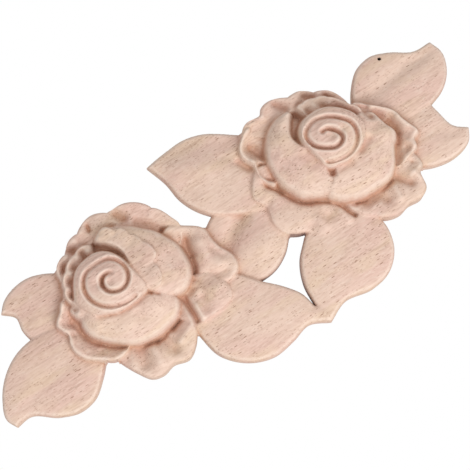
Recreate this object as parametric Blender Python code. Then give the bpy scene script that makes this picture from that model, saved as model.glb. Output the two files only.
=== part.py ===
"""Carved wooden applique: two roses and eight leaves in one flat-backed piece of wood.

The flat back lies in the plane Y = 0 and the carving faces -Y. X runs along the length, Z across it.
The relief is worked out as a height above the back for every place (x, z), in millimetres: each leaf and
petal has an outline and a surface, and the carving shows whichever surface stands highest.
"""
import math
from collections import namedtuple

import bmesh
import bpy
import numpy as np
from mathutils import Vector
from mathutils.geometry import delaunay_2d_cdt
from mathutils.kdtree import KDTree

# Driving dimensions, in millimetres
MM = 0.001
LEAF_EDGE = 5.0              # height of a leaf's edge above the back
FLOOR = 3.0                  # height of the ground between the petals
CORE = 13.0                  # height of the ground under a rose's middle
OUTER_RIM = 9.5              # height of the outer petals' rims
FRILL_RIM = 12.6             # height of the frill's rim behind the bud
BIG_RIM = 11.0               # height of the two big petals' rims
BIG_TOP = 15.0               # height of the big petals beside the bud
BUD_TOP = 19.5               # height of the bud's crown
BUD_FALL = 0.022             # fall of the bud's dome, for each square millimetre out from its crown
LEAF_ROUND = 1.1             # how far in from a leaf's outline its edge is rounded
LEAF_FALL = 2.6              # how far that edge falls
THICK_ROUND = 1.3            # radius that the big petals' thick rims are rubbed down to
SOFT_ROUND = 1.1             # the same for the lower petals
THIN_ROUND = 0.6             # the same for thin rims
WALL_SLOPE = 4.0             # drop of a petal's side for each millimetre outwards
SCOOP_WIDTH = 0.28           # half width of a scallop's hollow, as a share of the petal's length
GROOVE_WIDTH = 0.68          # half width of the spiral cut in a bud
GROOVE_LIP = 0.35            # height of the thin lip along that cut's outer side
LIP_PLACE = 0.9              # how far a petal's lip lies inside its edge
LIP_WIDTH = 0.9              # half width of that lip
VALLEY_WIDTH = 3.0           # half width of the valley along a leaf's midrib
VALLEY_END = 4.0             # how far inside a leaf's edge that valley has its full depth
RIGHT_ROSE = (46.4, 9.0)     # middle of the right rose
LEFT_ROSE = (-47.0, 7.1)     # middle of the left rose
OUTLINE_STEP = 0.8           # spacing of the points along an outline
SURFACE_STEP = 1.0           # spacing of the points between the outlines
MARGIN = 4.0                 # how far outside its outline a petal's falling side is worked out
NOWHERE = -50.0              # a height and a distance that nothing reaches
MERGE = 0.02                 # points nearer than this are one
TRIANGLES = 8000             # of the carved face, after thinning out

WOOD_COLOUR = (0.68, 0.49, 0.38, 1.0)
WOOD_ROUGHNESS = 0.7

Element = namedtuple("Element", "outline surface edge fall covers")


def smooth_curve(knots, values, where):
    """Values of the smooth curve that passes through the given knots."""
    knots = np.asarray(knots, float)
    values = np.asarray(values, float)
    slopes = np.gradient(values, knots, axis=0)
    first = np.clip(np.searchsorted(knots, where) - 1, 0, len(knots) - 2)
    span = knots[first + 1] - knots[first]
    t = np.clip((where - knots[first]) / span, 0.0, 1.0)
    if values.ndim > 1:
        t = t[:, None]
        span = span[:, None]
    start = (2 * t**3 - 3 * t**2 + 1) * values[first] + (t**3 - 2 * t**2 + t) * span * slopes[first]
    end = (3 * t**2 - 2 * t**3) * values[first + 1] + (t**3 - t**2) * span * slopes[first + 1]
    return start + end


def run(points):
    """Evenly spaced points on the smooth curve through a few points."""
    points = np.asarray(points, float)
    along = np.concatenate([[0.0], np.cumsum(np.hypot(*np.diff(points, axis=0).T))])
    count = max(2, int(along[-1] / OUTLINE_STEP) + 1)
    return smooth_curve(along, points, np.linspace(0.0, along[-1], count))


def outline_of(*runs):
    """A closed outline made of smooth runs that meet at corners."""
    return np.concatenate([run(points)[:-1] for points in runs])


def inside_distance(places, outline):
    """Distance of each place to an outline, negative outside it."""
    start = outline
    side = np.roll(outline, -1, axis=0) - outline
    length2 = np.maximum((side**2).sum(1), 1e-12)
    result = np.empty(len(places))
    for first in range(0, len(places), 4000):
        part = places[first:first + 4000]
        offset = part[:, None, :] - start[None]
        t = np.clip((offset * side).sum(2) / length2, 0.0, 1.0)
        gap = offset - t[..., None] * side
        distance = np.sqrt((gap**2).sum(2).min(1))
        above = offset[..., 1] < 0
        above_next = (part[:, None, 1] - np.roll(start, -1, axis=0)[None, :, 1]) < 0
        crossing_x = start[:, 0] + side[:, 0] * offset[..., 1] / np.where(side[:, 1] == 0, 1.0, side[:, 1])
        crossed = (above != above_next) & (part[:, None, 0] < crossing_x)
        result[first:first + 4000] = np.where(crossed.sum(1) % 2 == 1, distance, -distance)
    return result


def line_distance(places, line):
    """Distance of each place to a line through a few places, or to a single place."""
    nearest = np.full(len(places), np.inf)
    for start, end in zip(line, line[1:] or line):
        start = np.asarray(start, float)
        side = np.asarray(end, float) - start
        offset = places - start
        t = np.clip(offset @ side / max(side @ side, 1e-9), 0.0, 1.0)
        nearest = np.minimum(nearest, np.hypot(*(offset - t[:, None] * side).T))
    return nearest


def pressed(places, strokes):
    """Height that soft strokes add. Each is a width, a rise, and the places it runs through.

    A stroke with a negative rise is a hollow. Where hollows cross, the deeper one is cut.
    """
    raised = np.zeros(len(places))
    sunk = np.zeros(len(places))
    for width, rise, *line in strokes:
        share = np.exp(-(line_distance(places, line) / width)**2)
        raised += max(rise, 0.0) * share
        sunk = np.minimum(sunk, rise * share)
    return raised + sunk


def leaf(outline, base, tip, base_height, tip_height, crown=1.0, roll=6.0, valley=0.0, strokes=()):
    """A leaf: it rises from its edge by its crown, with a valley along its midrib."""
    base = np.asarray(base, float)
    rib = np.asarray(tip, float) - base
    length = math.hypot(*rib)
    rib = rib / length

    def surface(places, edge_distance):
        offset = places - base
        along = np.clip(offset @ rib / length, 0.0, 1.0)
        across = offset[:, 0] * rib[1] - offset[:, 1] * rib[0]
        height = base_height + (tip_height - base_height) * along
        height = height + crown * (1.0 - np.exp(-np.maximum(edge_distance, 0.0) / roll))
        share = np.clip(edge_distance / VALLEY_END, 0.0, 1.0)
        height = height - valley * np.exp(-(across / VALLEY_WIDTH)**2) * share
        return height + pressed(places, strokes)

    return Element(outline, surface, LEAF_ROUND, LEAF_FALL, None)


def about(rose, hand, places):
    """Angle in degrees and radius of each place, seen from a rose's middle."""
    dx = (places[:, 0] - rose[0]) * hand
    dz = places[:, 1] - rose[1]
    return np.degrees(np.arctan2(dz, dx)), np.hypot(dx, dz)


def fan_outline(rose, hand, angles, inner, outer):
    """The outline between an inner and an outer radius, over a range of angles."""
    turn = np.radians(angles)
    rim = np.stack([outer * np.cos(turn) * hand, outer * np.sin(turn)], 1)
    root = np.stack([inner * np.cos(turn) * hand, inner * np.sin(turn)], 1)
    sides = [run([rim[-1], root[-1]])[1:-1], run([root[0], rim[0]])[1:-1]]
    return np.concatenate([rim, sides[0], root[::-1], sides[1]]) + np.asarray(rose)


def petal(rose, hand, stations, bulge=0.0, curl=1.0, lobes=(), lobe_reach=0.0, hollow=0.0, hollow_at=0.5,
          edge=THIN_ROUND, lip=0.0, strokes=(), covers=True):
    """A petal that fans out from a rose's middle.

    Each station is an angle, then the radius and height of the root and the radius and height of the rim.
    Bulge arches the petal between root and rim, and a curl over 1 keeps it low until near the rim.
    Lobes are the angles of the notches between the rim's scallops. Each scallop is scooped out by hollow.
    """
    table = np.asarray(stations, float)
    table = table[np.argsort(table[:, 0])]
    first, last = table[0, 0], table[-1, 0]
    notches = np.sort(np.asarray(lobes, float)) if len(lobes) else None

    def scallop(angle):
        if notches is None:
            return np.zeros_like(angle)
        gap = np.clip(np.searchsorted(notches, angle) - 1, 0, len(notches) - 2)
        share = (angle - notches[gap]) / (notches[gap + 1] - notches[gap])
        return np.sin(np.pi * np.clip(share, 0.0, 1.0))

    def radii(angle):
        row = smooth_curve(table[:, 0], table[:, 1:], angle)
        return row[:, 0], row[:, 1], row[:, 2] + lobe_reach * scallop(angle)**0.6, row[:, 3]

    def surface(places, edge_distance):
        angle, radius = about(rose, hand, places)
        middle = (first + last) / 2
        angle = angle + 360.0 * np.round((middle - angle) / 360.0)
        angle = np.clip(angle, first, last)
        root_radius, root_height, rim_radius, rim_height = radii(angle)
        share = np.clip((radius - root_radius) / np.maximum(rim_radius - root_radius, 0.1), 0.0, 1.0)
        height = root_height + (rim_height - root_height) * share**curl + bulge * 4 * share * (1 - share)
        height = height - hollow * scallop(angle)**2 * np.exp(-((share - hollow_at) / SCOOP_WIDTH)**2)
        height = height + lip * np.exp(-((edge_distance - LIP_PLACE) / LIP_WIDTH)**2)
        return height + pressed(places, strokes)

    reach = table[:, 3].max()
    angles = np.linspace(first, last, max(3, int(math.radians(last - first) * reach / OUTLINE_STEP)))
    inner, _, outer, _ = radii(angles)
    return Element(fan_outline(rose, hand, angles, inner, outer), surface, edge, edge, covers)


def bud(rose, hand, collar, groove, middle, strokes=()):
    """The bud: a dome inside its collar, with a spiral cut that winds out from the middle.

    The collar's stations are an angle and a radius, the groove's an angle turned, a radius and a depth.
    """
    collar = np.asarray(collar, float)
    groove = np.asarray(groove, float)
    angles = np.arange(0.0, 360.0, 5.0)
    ring = np.concatenate([collar[-1:] - [360.0, 0.0], collar, collar[:1] + [360.0, 0.0]])
    radii = smooth_curve(ring[:, 0], ring[:, 1], angles)
    turn = np.radians(angles)
    outline = np.stack([radii * np.cos(turn) * hand, radii * np.sin(turn)], 1) + np.asarray(rose)
    steps = np.arange(groove[0, 0], groove[-1, 0], 4.0)
    reach, depth = smooth_curve(groove[:, 0], groove[:, 1:], steps).T
    cut = np.stack([reach * np.cos(np.radians(-steps)) * hand, reach * np.sin(np.radians(-steps))], 1)
    cut = cut + np.asarray(rose)

    def surface(places, edge_distance):
        _, radius = about(middle, hand, places)
        _, from_rose = about(rose, hand, places)
        dome = BUD_TOP - BUD_FALL * radius**2 + pressed(places, strokes)
        gap = np.hypot(places[:, None, 0] - cut[None, :, 0], places[:, None, 1] - cut[None, :, 1])
        nearest = gap.argmin(1)
        near = gap.min(1)
        beyond = np.where(from_rose > reach[nearest], near, -near)
        lip = GROOVE_LIP * np.exp(-((beyond - 1.8 * GROOVE_WIDTH) / GROOVE_WIDTH)**2)
        return dome - depth[nearest] * np.exp(-(near / GROOVE_WIDTH)**4) + lip

    return Element(outline, surface, THIN_ROUND, THIN_ROUND, True)


def leaves():
    """The eight leaves, each lying over the ones before it where they cross."""
    top_middle = leaf(outline_of(
        [(-13.6, 36.8), (-5.0, 38.1), (3.0, 38.3), (10.0, 36.2), (15.0, 33.0), (20.4, 28.8)],
        [(20.4, 28.8), (24.0, 14.0), (14.0, 0.0)],
        [(14.0, 0.0), (5.0, 4.3), (-3.6, 9.8), (-7.8, 15.4), (-10.0, 20.8), (-11.0, 28.5), (-13.6, 36.8)]),
        base=(16.0, 8.0), tip=(-13.6, 36.8), base_height=LEAF_EDGE + 1.0, tip_height=LEAF_EDGE, crown=1.2,
        strokes=((4.6, -0.9, (-4.0, 37.0), (6.0, 34.4), (13.6, 28.6)), (4.5, 0.8, (-6.0, 28.0), (4.0, 24.6)),
                 (2.6, -0.7, (10.6, 25.6), (14.0, 21.6)), (1.5, -1.7, (14.4, 20.6), (16.6, 16.4))))
    middle = leaf(outline_of(
        [(-20.0, 2.0), (-8.2, 7.1)],
        [(-8.2, 7.1), (-3.6, 9.8), (8.0, 10.0), (20.0, 4.0)],
        [(20.0, 4.0), (19.5, -4.0), (17.0, -9.8)],
        [(17.0, -9.8), (10.5, -16.2), (5.0, -18.8), (-1.2, -19.4), (-10.0, -18.0), (-20.0, -12.0)],
        [(-20.0, -12.0), (-20.0, 2.0)]),
        base=(-12.0, -2.0), tip=(16.0, -3.0), base_height=LEAF_EDGE - 2.4, tip_height=LEAF_EDGE + 0.2,
        crown=1.4, strokes=((6.5, 1.9, (5.0, -8.5)), (3.2, -1.9, (4.6, 3.8), (-1.4, 0.8), (-5.0, -3.4))))
    right_upper = leaf(outline_of(
        [(60.3, 16.7), (63.2, 21.0), (69.0, 26.3), (75.5, 27.6), (82.0, 25.3), (90.0, 20.7), (96.8, 20.5)],
        [(96.8, 20.5), (98.4, 15.0), (96.5, 8.8), (91.5, 3.6), (84.0, 0.7)],
        [(84.0, 0.7), (76.0, 0.5), (66.0, 2.0)],
        [(66.0, 2.0), (60.3, 16.7)]),
        base=(62.0, 14.5), tip=(97.0, 19.0), base_height=LEAF_EDGE + 0.4, tip_height=LEAF_EDGE, crown=1.6,
        valley=1.3)
    right_lower = leaf(outline_of(
        [(66.0, 6.0), (84.0, 3.0)],
        [(84.0, 3.0), (85.0, -3.0), (86.6, -9.5), (91.0, -13.2)],
        [(91.0, -13.2), (88.4, -17.2), (80.5, -19.7), (73.0, -18.6), (66.0, -15.5)],
        [(66.0, -15.5), (66.0, 6.0)]),
        base=(68.0, -4.0), tip=(91.0, -13.2), base_height=LEAF_EDGE - 0.6, tip_height=LEAF_EDGE - 0.4,
        crown=1.3, valley=0.5)
    left_upper = leaf(outline_of(
        [(-84.4, 20.4), (-81.5, 23.5), (-76.0, 25.9), (-70.0, 26.3), (-64.5, 24.6), (-58.0, 20.6)],
        [(-58.0, 20.6), (-62.0, 6.0), (-69.0, 3.0), (-80.0, 5.0)],
        [(-80.0, 5.0), (-81.2, 11.0), (-80.8, 16.8), (-84.4, 20.4)]),
        base=(-62.0, 15.0), tip=(-84.4, 20.4), base_height=LEAF_EDGE, tip_height=LEAF_EDGE - 0.4, crown=1.2)
    left_lower = leaf(outline_of(
        [(-100.2, -16.2), (-101.9, -12.5), (-99.6, -5.4), (-95.0, 0.5), (-88.0, 5.2), (-80.0, 7.1),
         (-66.0, 5.0)],
        [(-66.0, 5.0), (-62.0, -13.5)],
        [(-62.0, -13.5), (-66.5, -18.2), (-72.5, -22.7), (-79.0, -23.7), (-86.0, -21.3), (-95.0, -15.5),
         (-100.2, -16.2)]),
        base=(-66.0, -6.0), tip=(-101.0, -13.0), base_height=LEAF_EDGE + 0.6, tip_height=LEAF_EDGE, crown=1.5,
        valley=0.3)
    bottom_left = leaf(outline_of(
        [(11.2, -44.8), (4.0, -41.4), (-3.5, -43.2), (-12.0, -44.2), (-20.5, -41.2), (-28.0, -33.5),
         (-30.5, -22.0)],
        [(-30.5, -22.0), (-34.0, -12.0), (-20.0, -5.0), (-8.0, -12.0), (-1.2, -19.8)],
        [(-1.2, -19.8), (4.0, -25.2), (8.0, -31.0), (9.4, -36.8)],
        [(9.4, -36.8), (12.8, -39.6), (13.0, -42.4), (11.2, -44.8)]),
        base=(-18.0, -20.0), tip=(11.2, -44.8), base_height=LEAF_EDGE + 0.8, tip_height=LEAF_EDGE, crown=1.5)
    bottom_right = leaf(outline_of(
        [(11.2, -44.8), (9.4, -36.8)],
        [(9.4, -36.8), (10.2, -28.5), (13.6, -20.8), (19.4, -14.8)],
        [(19.4, -14.8), (30.0, -8.0), (44.0, -18.0)],
        [(44.0, -18.0), (46.2, -27.0), (43.8, -35.6), (37.5, -41.4), (30.0, -42.9), (19.0, -41.4),
         (11.2, -44.8)]),
        base=(32.0, -18.0), tip=(11.2, -44.8), base_height=LEAF_EDGE + 0.8, tip_height=LEAF_EDGE, crown=1.5)
    return [top_middle, middle, right_lower, right_upper, left_upper, left_lower, bottom_left, bottom_right]


def ground(rose, hand, radii, strokes):
    """The ground under a rose, falling away from its middle, with its radius at six equal steps of angle."""
    stations = [(60.0 * index - 180.0, 0.5, CORE, radius, FLOOR) for index, radius in enumerate(radii)]
    stations.append((180.0, 0.5, CORE, radii[0], FLOOR))
    return petal(rose, hand, stations, curl=0.5, strokes=strokes, covers=False)


def right_rose():
    """The right rose. Its spiral winds out clockwise."""
    place, hand = RIGHT_ROSE, 1
    top_ring = petal(
        place, hand, [
            (24, 12.5, 7.5, 13.0, OUTER_RIM), (42, 12.6, 8.4, 14.6, OUTER_RIM),
            (61, 13.4, 8.8, 16.8, OUTER_RIM), (77.5, 14.0, 9.0, 17.9, OUTER_RIM),
            (90, 14.6, 9.2, 19.8, OUTER_RIM), (103, 15.2, 9.3, 21.3, OUTER_RIM),
            (115, 17.5, 9.3, 25.0, OUTER_RIM), (125, 19.6, 9.0, 26.6, OUTER_RIM),
            (129.5, 20.5, 8.2, 26.4, OUTER_RIM), (136, 21.6, 7.4, 29.6, 9.2),
            (146, 22.6, 6.4, 31.6, 8.8)],
        lobes=(26, 77.5, 103, 129.5, 146), lobe_reach=0.8, hollow=0.2, hollow_at=0.5, lip=0.3,
        strokes=[
            (1.9, 1.2, (29.8, 28.2)), (1.4, -1.9, (36.4, 30.4), (38.8, 27.0)), (2.0, 0.9, (42.8, 28.4)),
            (2.0, 0.8, (33.6, 30.2)), (1.5, -2.4, (47.0, 27.4), (48.8, 25.4)), (1.3, 0.9, (51.2, 24.8)),
            (1.0, -1.8, (53.2, 23.4), (54.2, 21.4)), (1.0, -0.8, (41.0, 25.4), (45.0, 25.8))])
    left_ring = petal(
        place, hand, [
            (126, 20.3, 5.0, 26.0, 8.6), (146, 22.6, 5.2, 31.0, OUTER_RIM),
            (158, 23.2, 5.6, 31.8, OUTER_RIM), (166, 23.6, 5.8, 28.8, OUTER_RIM),
            (177, 23.8, 5.2, 28.2, 9.2), (186, 23.8, 4.6, 26.0, 9.0)],
        lobes=(140, 166, 186), lobe_reach=0.6, hollow=0.4, lip=0.3, strokes=[
            (1.5, -3.0, (26.2, 28.4), (26.0, 25.0)), (1.6, 0.9, (22.8, 27.4)), (1.9, 1.0, (29.0, 27.0)),
            (2.0, -3.4, (20.8, 22.2), (23.4, 17.6)), (0.9, 0.9, (18.6, 17.3), (17.3, 14.0)),
            (1.5, -3.2, (20.3, 14.4), (21.0, 12.0), (20.8, 9.6)),
            (0.8, 0.7, (17.0, 11.0), (19.0, 8.8), (20.6, 7.4))])
    notch = (0.9, -3.0, (35.6, -9.4), (36.9, -12.4), (37.8, -16.0), (39.2, -18.8))
    lower_left = petal(
        place, hand, [
            (168, 23.0, 5.4, 28.6, 8.0), (176, 23.4, 5.6, 32.2, 8.4), (185, 23.4, 5.8, 35.0, 8.0),
            (194.5, 23.2, 5.8, 33.6, 7.8), (202, 22.8, 5.8, 36.4, 7.6), (209, 22.4, 5.8, 37.6, 7.4),
            (217, 21.3, 5.6, 36.0, 7.0), (224, 20.4, 5.4, 33.8, 6.8), (231.5, 19.4, 5.4, 35.0, 6.8),
            (238, 19.6, 5.4, 34.6, 6.6), (245, 21.0, 5.2, 32.8, 6.6), (252, 22.0, 4.8, 30.4, 6.6),
            (258, 22.0, 3.8, 29.2, 6.4)],
        bulge=1.2, edge=SOFT_ROUND, strokes=[
            notch, (1.6, -4.4, (19.2, 7.6), (21.0, 5.6), (22.2, 2.8)),
            (1.5, -3.2, (22.4, 2.2), (23.8, -0.8), (25.6, -3.4), (28.4, -5.4)),
            (1.4, -2.4, (28.4, -5.4), (32.4, -7.2), (35.6, -9.4)), (2.2, -1.2, (31.0, -13.0)),
            (1.6, 0.6, (27.0, -12.0), (27.4, -16.0)), (1.3, 0.6, (34.8, -14.0), (35.6, -18.5)),
            (3.0, 0.6, (15.5, -5.0), (18.0, -9.5)), (2.0, -0.8, (23.5, -13.0)),
            (1.4, -0.7, (14.3, 1.2), (16.5, 2.6))])
    lower_right = petal(
        place, hand, [
            (250, 21.0, 3.8, 27.6, 6.4), (258, 21.8, 4.4, 29.4, 6.8), (265, 22.2, 4.6, 31.4, 7.2),
            (271, 22.7, 5.4, 33.8, 7.6), (280, 23.2, 5.8, 35.8, 7.8), (286.5, 23.3, 5.8, 35.8, 7.8),
            (295, 23.9, 5.8, 38.0, 7.8), (301, 23.4, 5.8, 37.2, 7.8), (305.5, 23.0, 5.4, 34.0, 7.8),
            (313, 22.0, 4.4, 33.0, 7.6), (318, 21.6, 4.0, 30.0, 7.0), (324, 21.4, 3.4, 27.0, 5.6)],
        bulge=1.3, edge=THICK_ROUND, strokes=[
            notch, (1.6, -3.0, (39.4, -12.2), (44.8, -15.2)),
            (1.4, -2.0, (44.8, -15.2), (50.5, -16.0), (56.4, -14.4)),
            (2.0, -2.0, (44.6, -16.2), (50.4, -16.8), (51.2, -19.4)),
            (1.6, 1.3, (55.6, -17.5), (55.2, -21.5)), (1.5, -2.4, (58.8, -15.0), (61.5, -19.2)),
            (1.3, 0.9, (63.6, -15.6), (65.0, -19.0)), (0.8, -1.4, (65.8, -13.0)),
            (0.9, 0.7, (62.5, -12.6), (66.4, -12.2)), (1.0, 0.8, (62.6, -17.0), (67.0, -16.0)),
            (2.0, -0.5, (46.5, -21.0))])
    right_ring = petal(
        place, hand, [
            (-56, 22.6, 4.2, 25.4, 8.4), (-51.7, 22.4, 4.4, 26.8, 8.8), (-44, 21.8, 4.6, 28.6, 9.0),
            (-38, 21.6, 4.6, 30.0, 9.0), (-31.6, 21.9, 4.6, 29.2, 9.2),
            (-27.5, 21.7, 4.6, 30.6, OUTER_RIM), (-22, 20.4, 4.6, 28.2, OUTER_RIM),
            (-17, 18.6, 4.6, 26.2, OUTER_RIM), (-9, 17.3, 4.8, 24.6, OUTER_RIM),
            (2, 15.5, 6.0, 20.4, 9.8), (12, 13.0, 6.5, 17.4, 10.4), (18, 12.8, 7.0, 16.4, 11.0),
            (25, 11.0, 8.0, 14.6, 11.4)],
        bulge=0.7, lip=0.35, strokes=[
            (1.6, -3.0, (67.6, 3.4), (67.9, 1.0), (67.4, -1.2)), (1.3, -2.0, (66.8, -2.6), (64.0, -6.6)),
            (1.3, -3.0, (63.4, -7.6), (61.7, -10.4)), (1.1, -1.0, (65.2, 9.0), (66.8, 5.0)),
            (1.6, -1.0, (67.0, -8.0)), (1.0, 0.8, (68.6, -6.2), (69.6, -9.0)),
            (1.2, 0.7, (70.2, 3.0), (70.9, -1.4)), (0.9, -2.8, (61.2, 13.9), (63.0, 12.0))])
    frill = petal(
        place, hand, [
            (2, 10, 9.8, 13.0, 12.0), (12, 10, 8.2, 13.8, FRILL_RIM), (22, 10, 7.4, 13.6, FRILL_RIM),
            (35, 10, 7.4, 13.0, FRILL_RIM), (48, 10, 8.4, 13.4, FRILL_RIM),
            (62, 10, 10.4, 14.3, FRILL_RIM), (80, 10, 11.6, 15.0, FRILL_RIM),
            (98, 10, 11.6, 15.7, FRILL_RIM), (107, 10, 11.0, 16.0, 12.0)],
        curl=1.2, lobes=(2, 27, 62, 80, 98, 107), lobe_reach=0.4, strokes=[
            (0.8, -1.3, (44.8, 19.6), (44.3, 21.8)), (1.0, -1.2, (50.6, 18.8), (49.6, 20.8)),
            (1.1, 1.0, (42.4, 21.2), (42.5, 22.6)), (1.2, 1.2, (47.2, 20.6), (47.0, 22.2)),
            (1.0, 0.7, (52.4, 19.6))])
    pit = (1.2, -3.6, (39.9, -0.4), (39.2, -2.2))
    join = (0.45, -1.3, (39.2, -1.8), (37.4, -4.6))
    lower = petal(
        place, hand, [
            (-129, 12.0, 13.6, 20.0, 10.2), (-124, 11.4, 14.2, 21.0, BIG_RIM),
            (-117, 10, BIG_TOP - 0.4, 21.8, BIG_RIM), (-103, 9, BIG_TOP, 22.6, BIG_RIM),
            (-82, 9, BIG_TOP, 23.5, BIG_RIM), (-65, 9, BIG_TOP, 24.6, BIG_RIM),
            (-55, 9, BIG_TOP, 23.7, BIG_RIM), (-47, 9, BIG_TOP, 22.6, BIG_RIM),
            (-39, 9, BIG_TOP, 22.0, BIG_RIM), (-32, 9, BIG_TOP, 22.5, BIG_RIM),
            (-26, 9, 14.8, 22.2, 11.4), (-18, 9, 14.4, 19.4, 11.8), (-10, 9, 13.6, 17.9, 12.2),
            (-2, 9, 12.0, 17.0, 12.6), (8, 9, 11.0, 14.6, 12.8)],
        bulge=1.3, edge=THICK_ROUND, strokes=[
            pit, join, (1.5, -1.3, (52.0, -0.8), (56.5, 1.0)), (1.6, -1.0, (42.0, -2.4), (46.0, -2.8)),
            (3.5, 0.7, (50.0, -8.5)), (2.6, 0.8, (62.4, -1.0)), (1.3, -3.2, (61.2, 10.2), (62.0, 7.6)),
            (2.0, -0.8, (60.0, 3.4)), (2.0, -0.6, (56.5, -9.0)),
            (0.8, 0.6, (63.4, 8.6), (64.2, 5.4), (64.5, 3.4))])
    side = petal(
        place, hand, [
            (117, 16.6, 12.2, 18.2, 12.0), (124, 16.0, 12.8, 19.8, 11.8), (131, 15.5, 13.2, 21.1, 11.4),
            (140, 15.1, 13.6, 22.3, BIG_RIM), (151, 14.0, 14.2, 23.0, BIG_RIM),
            (160, 12.4, 14.6, 23.4, BIG_RIM), (169, 10.6, BIG_TOP, 23.9, BIG_RIM),
            (179, 9.2, BIG_TOP, 23.9, BIG_RIM), (190, 8.8, BIG_TOP, 23.9, BIG_RIM),
            (202, 8.6, BIG_TOP, 23.3, BIG_RIM), (211, 9.2, BIG_TOP, 22.8, BIG_RIM),
            (219, 9.6, 14.8, 21.5, BIG_RIM), (229, 10.4, 14.4, 20.4, BIG_RIM),
            (236, 11.4, 14.2, 20.0, BIG_RIM), (240, 11.8, 13.6, 19.0, 10.2)],
        bulge=1.1, edge=THICK_ROUND, strokes=[
            pit, join, (3.5, 0.7, (30.5, 17.5)), (2.6, -0.6, (27.0, 9.5)), (3.0, 0.5, (31.0, 2.0)),
            (2.0, -0.9, (34.5, 8.0), (35.5, 4.0)), (2.0, 0.6, (33.8, 22.4)), (1.6, -0.5, (26.0, 14.5))])
    collar = (
        (14, 10.5), (32, 9.8), (53, 9.6), (74, 9.9), (100, 10.3), (132, 11.2), (160, 10.6), (182, 9.6),
        (205, 9.8), (230, 11.3), (247, 10.6), (268, 10.4), (293, 10.4), (318, 10.9), (338, 11.8))
    groove = (
        (-146, 3.8, 0.8), (-128, 3.0, 1.8), (-100, 1.8, 2.8), (-34, 1.1, 3.2), (29, 2.05, 3.2),
        (65, 3.85, 2.6), (104, 5.05, 2.2), (151, 6.2, 2.5), (185, 8.4, 2.6), (208, 9.45, 2.2),
        (234, 8.4, 1.4), (275, 6.2, 1.7), (330, 5.9, 2.5), (367, 7.65, 2.6), (392, 8.4, 2.1),
        (423, 9.0, 1.5), (467, 9.65, 1.4), (496, 10.5, 1.8))
    centre = bud(
        place, hand, collar, groove, middle=(place[0] - 0.8, place[1] - 1.0), strokes=[
            (1.8, -1.1, (45.6, 8.6)), (1.4, -1.0, (49.6, 8.4)), (1.0, 0.3, (46.5, 5.9)),
            (0.9, -1.0, (43.4, 11.2))])
    floor = ground(place, hand, (27, 26, 22, 13, 13, 22), [(2.6, 3.0, (36.0, 17.0), (39.0, 21.5))])
    return [floor, top_ring, left_ring, lower_left, lower_right, right_ring, frill, lower, side, centre]


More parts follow.
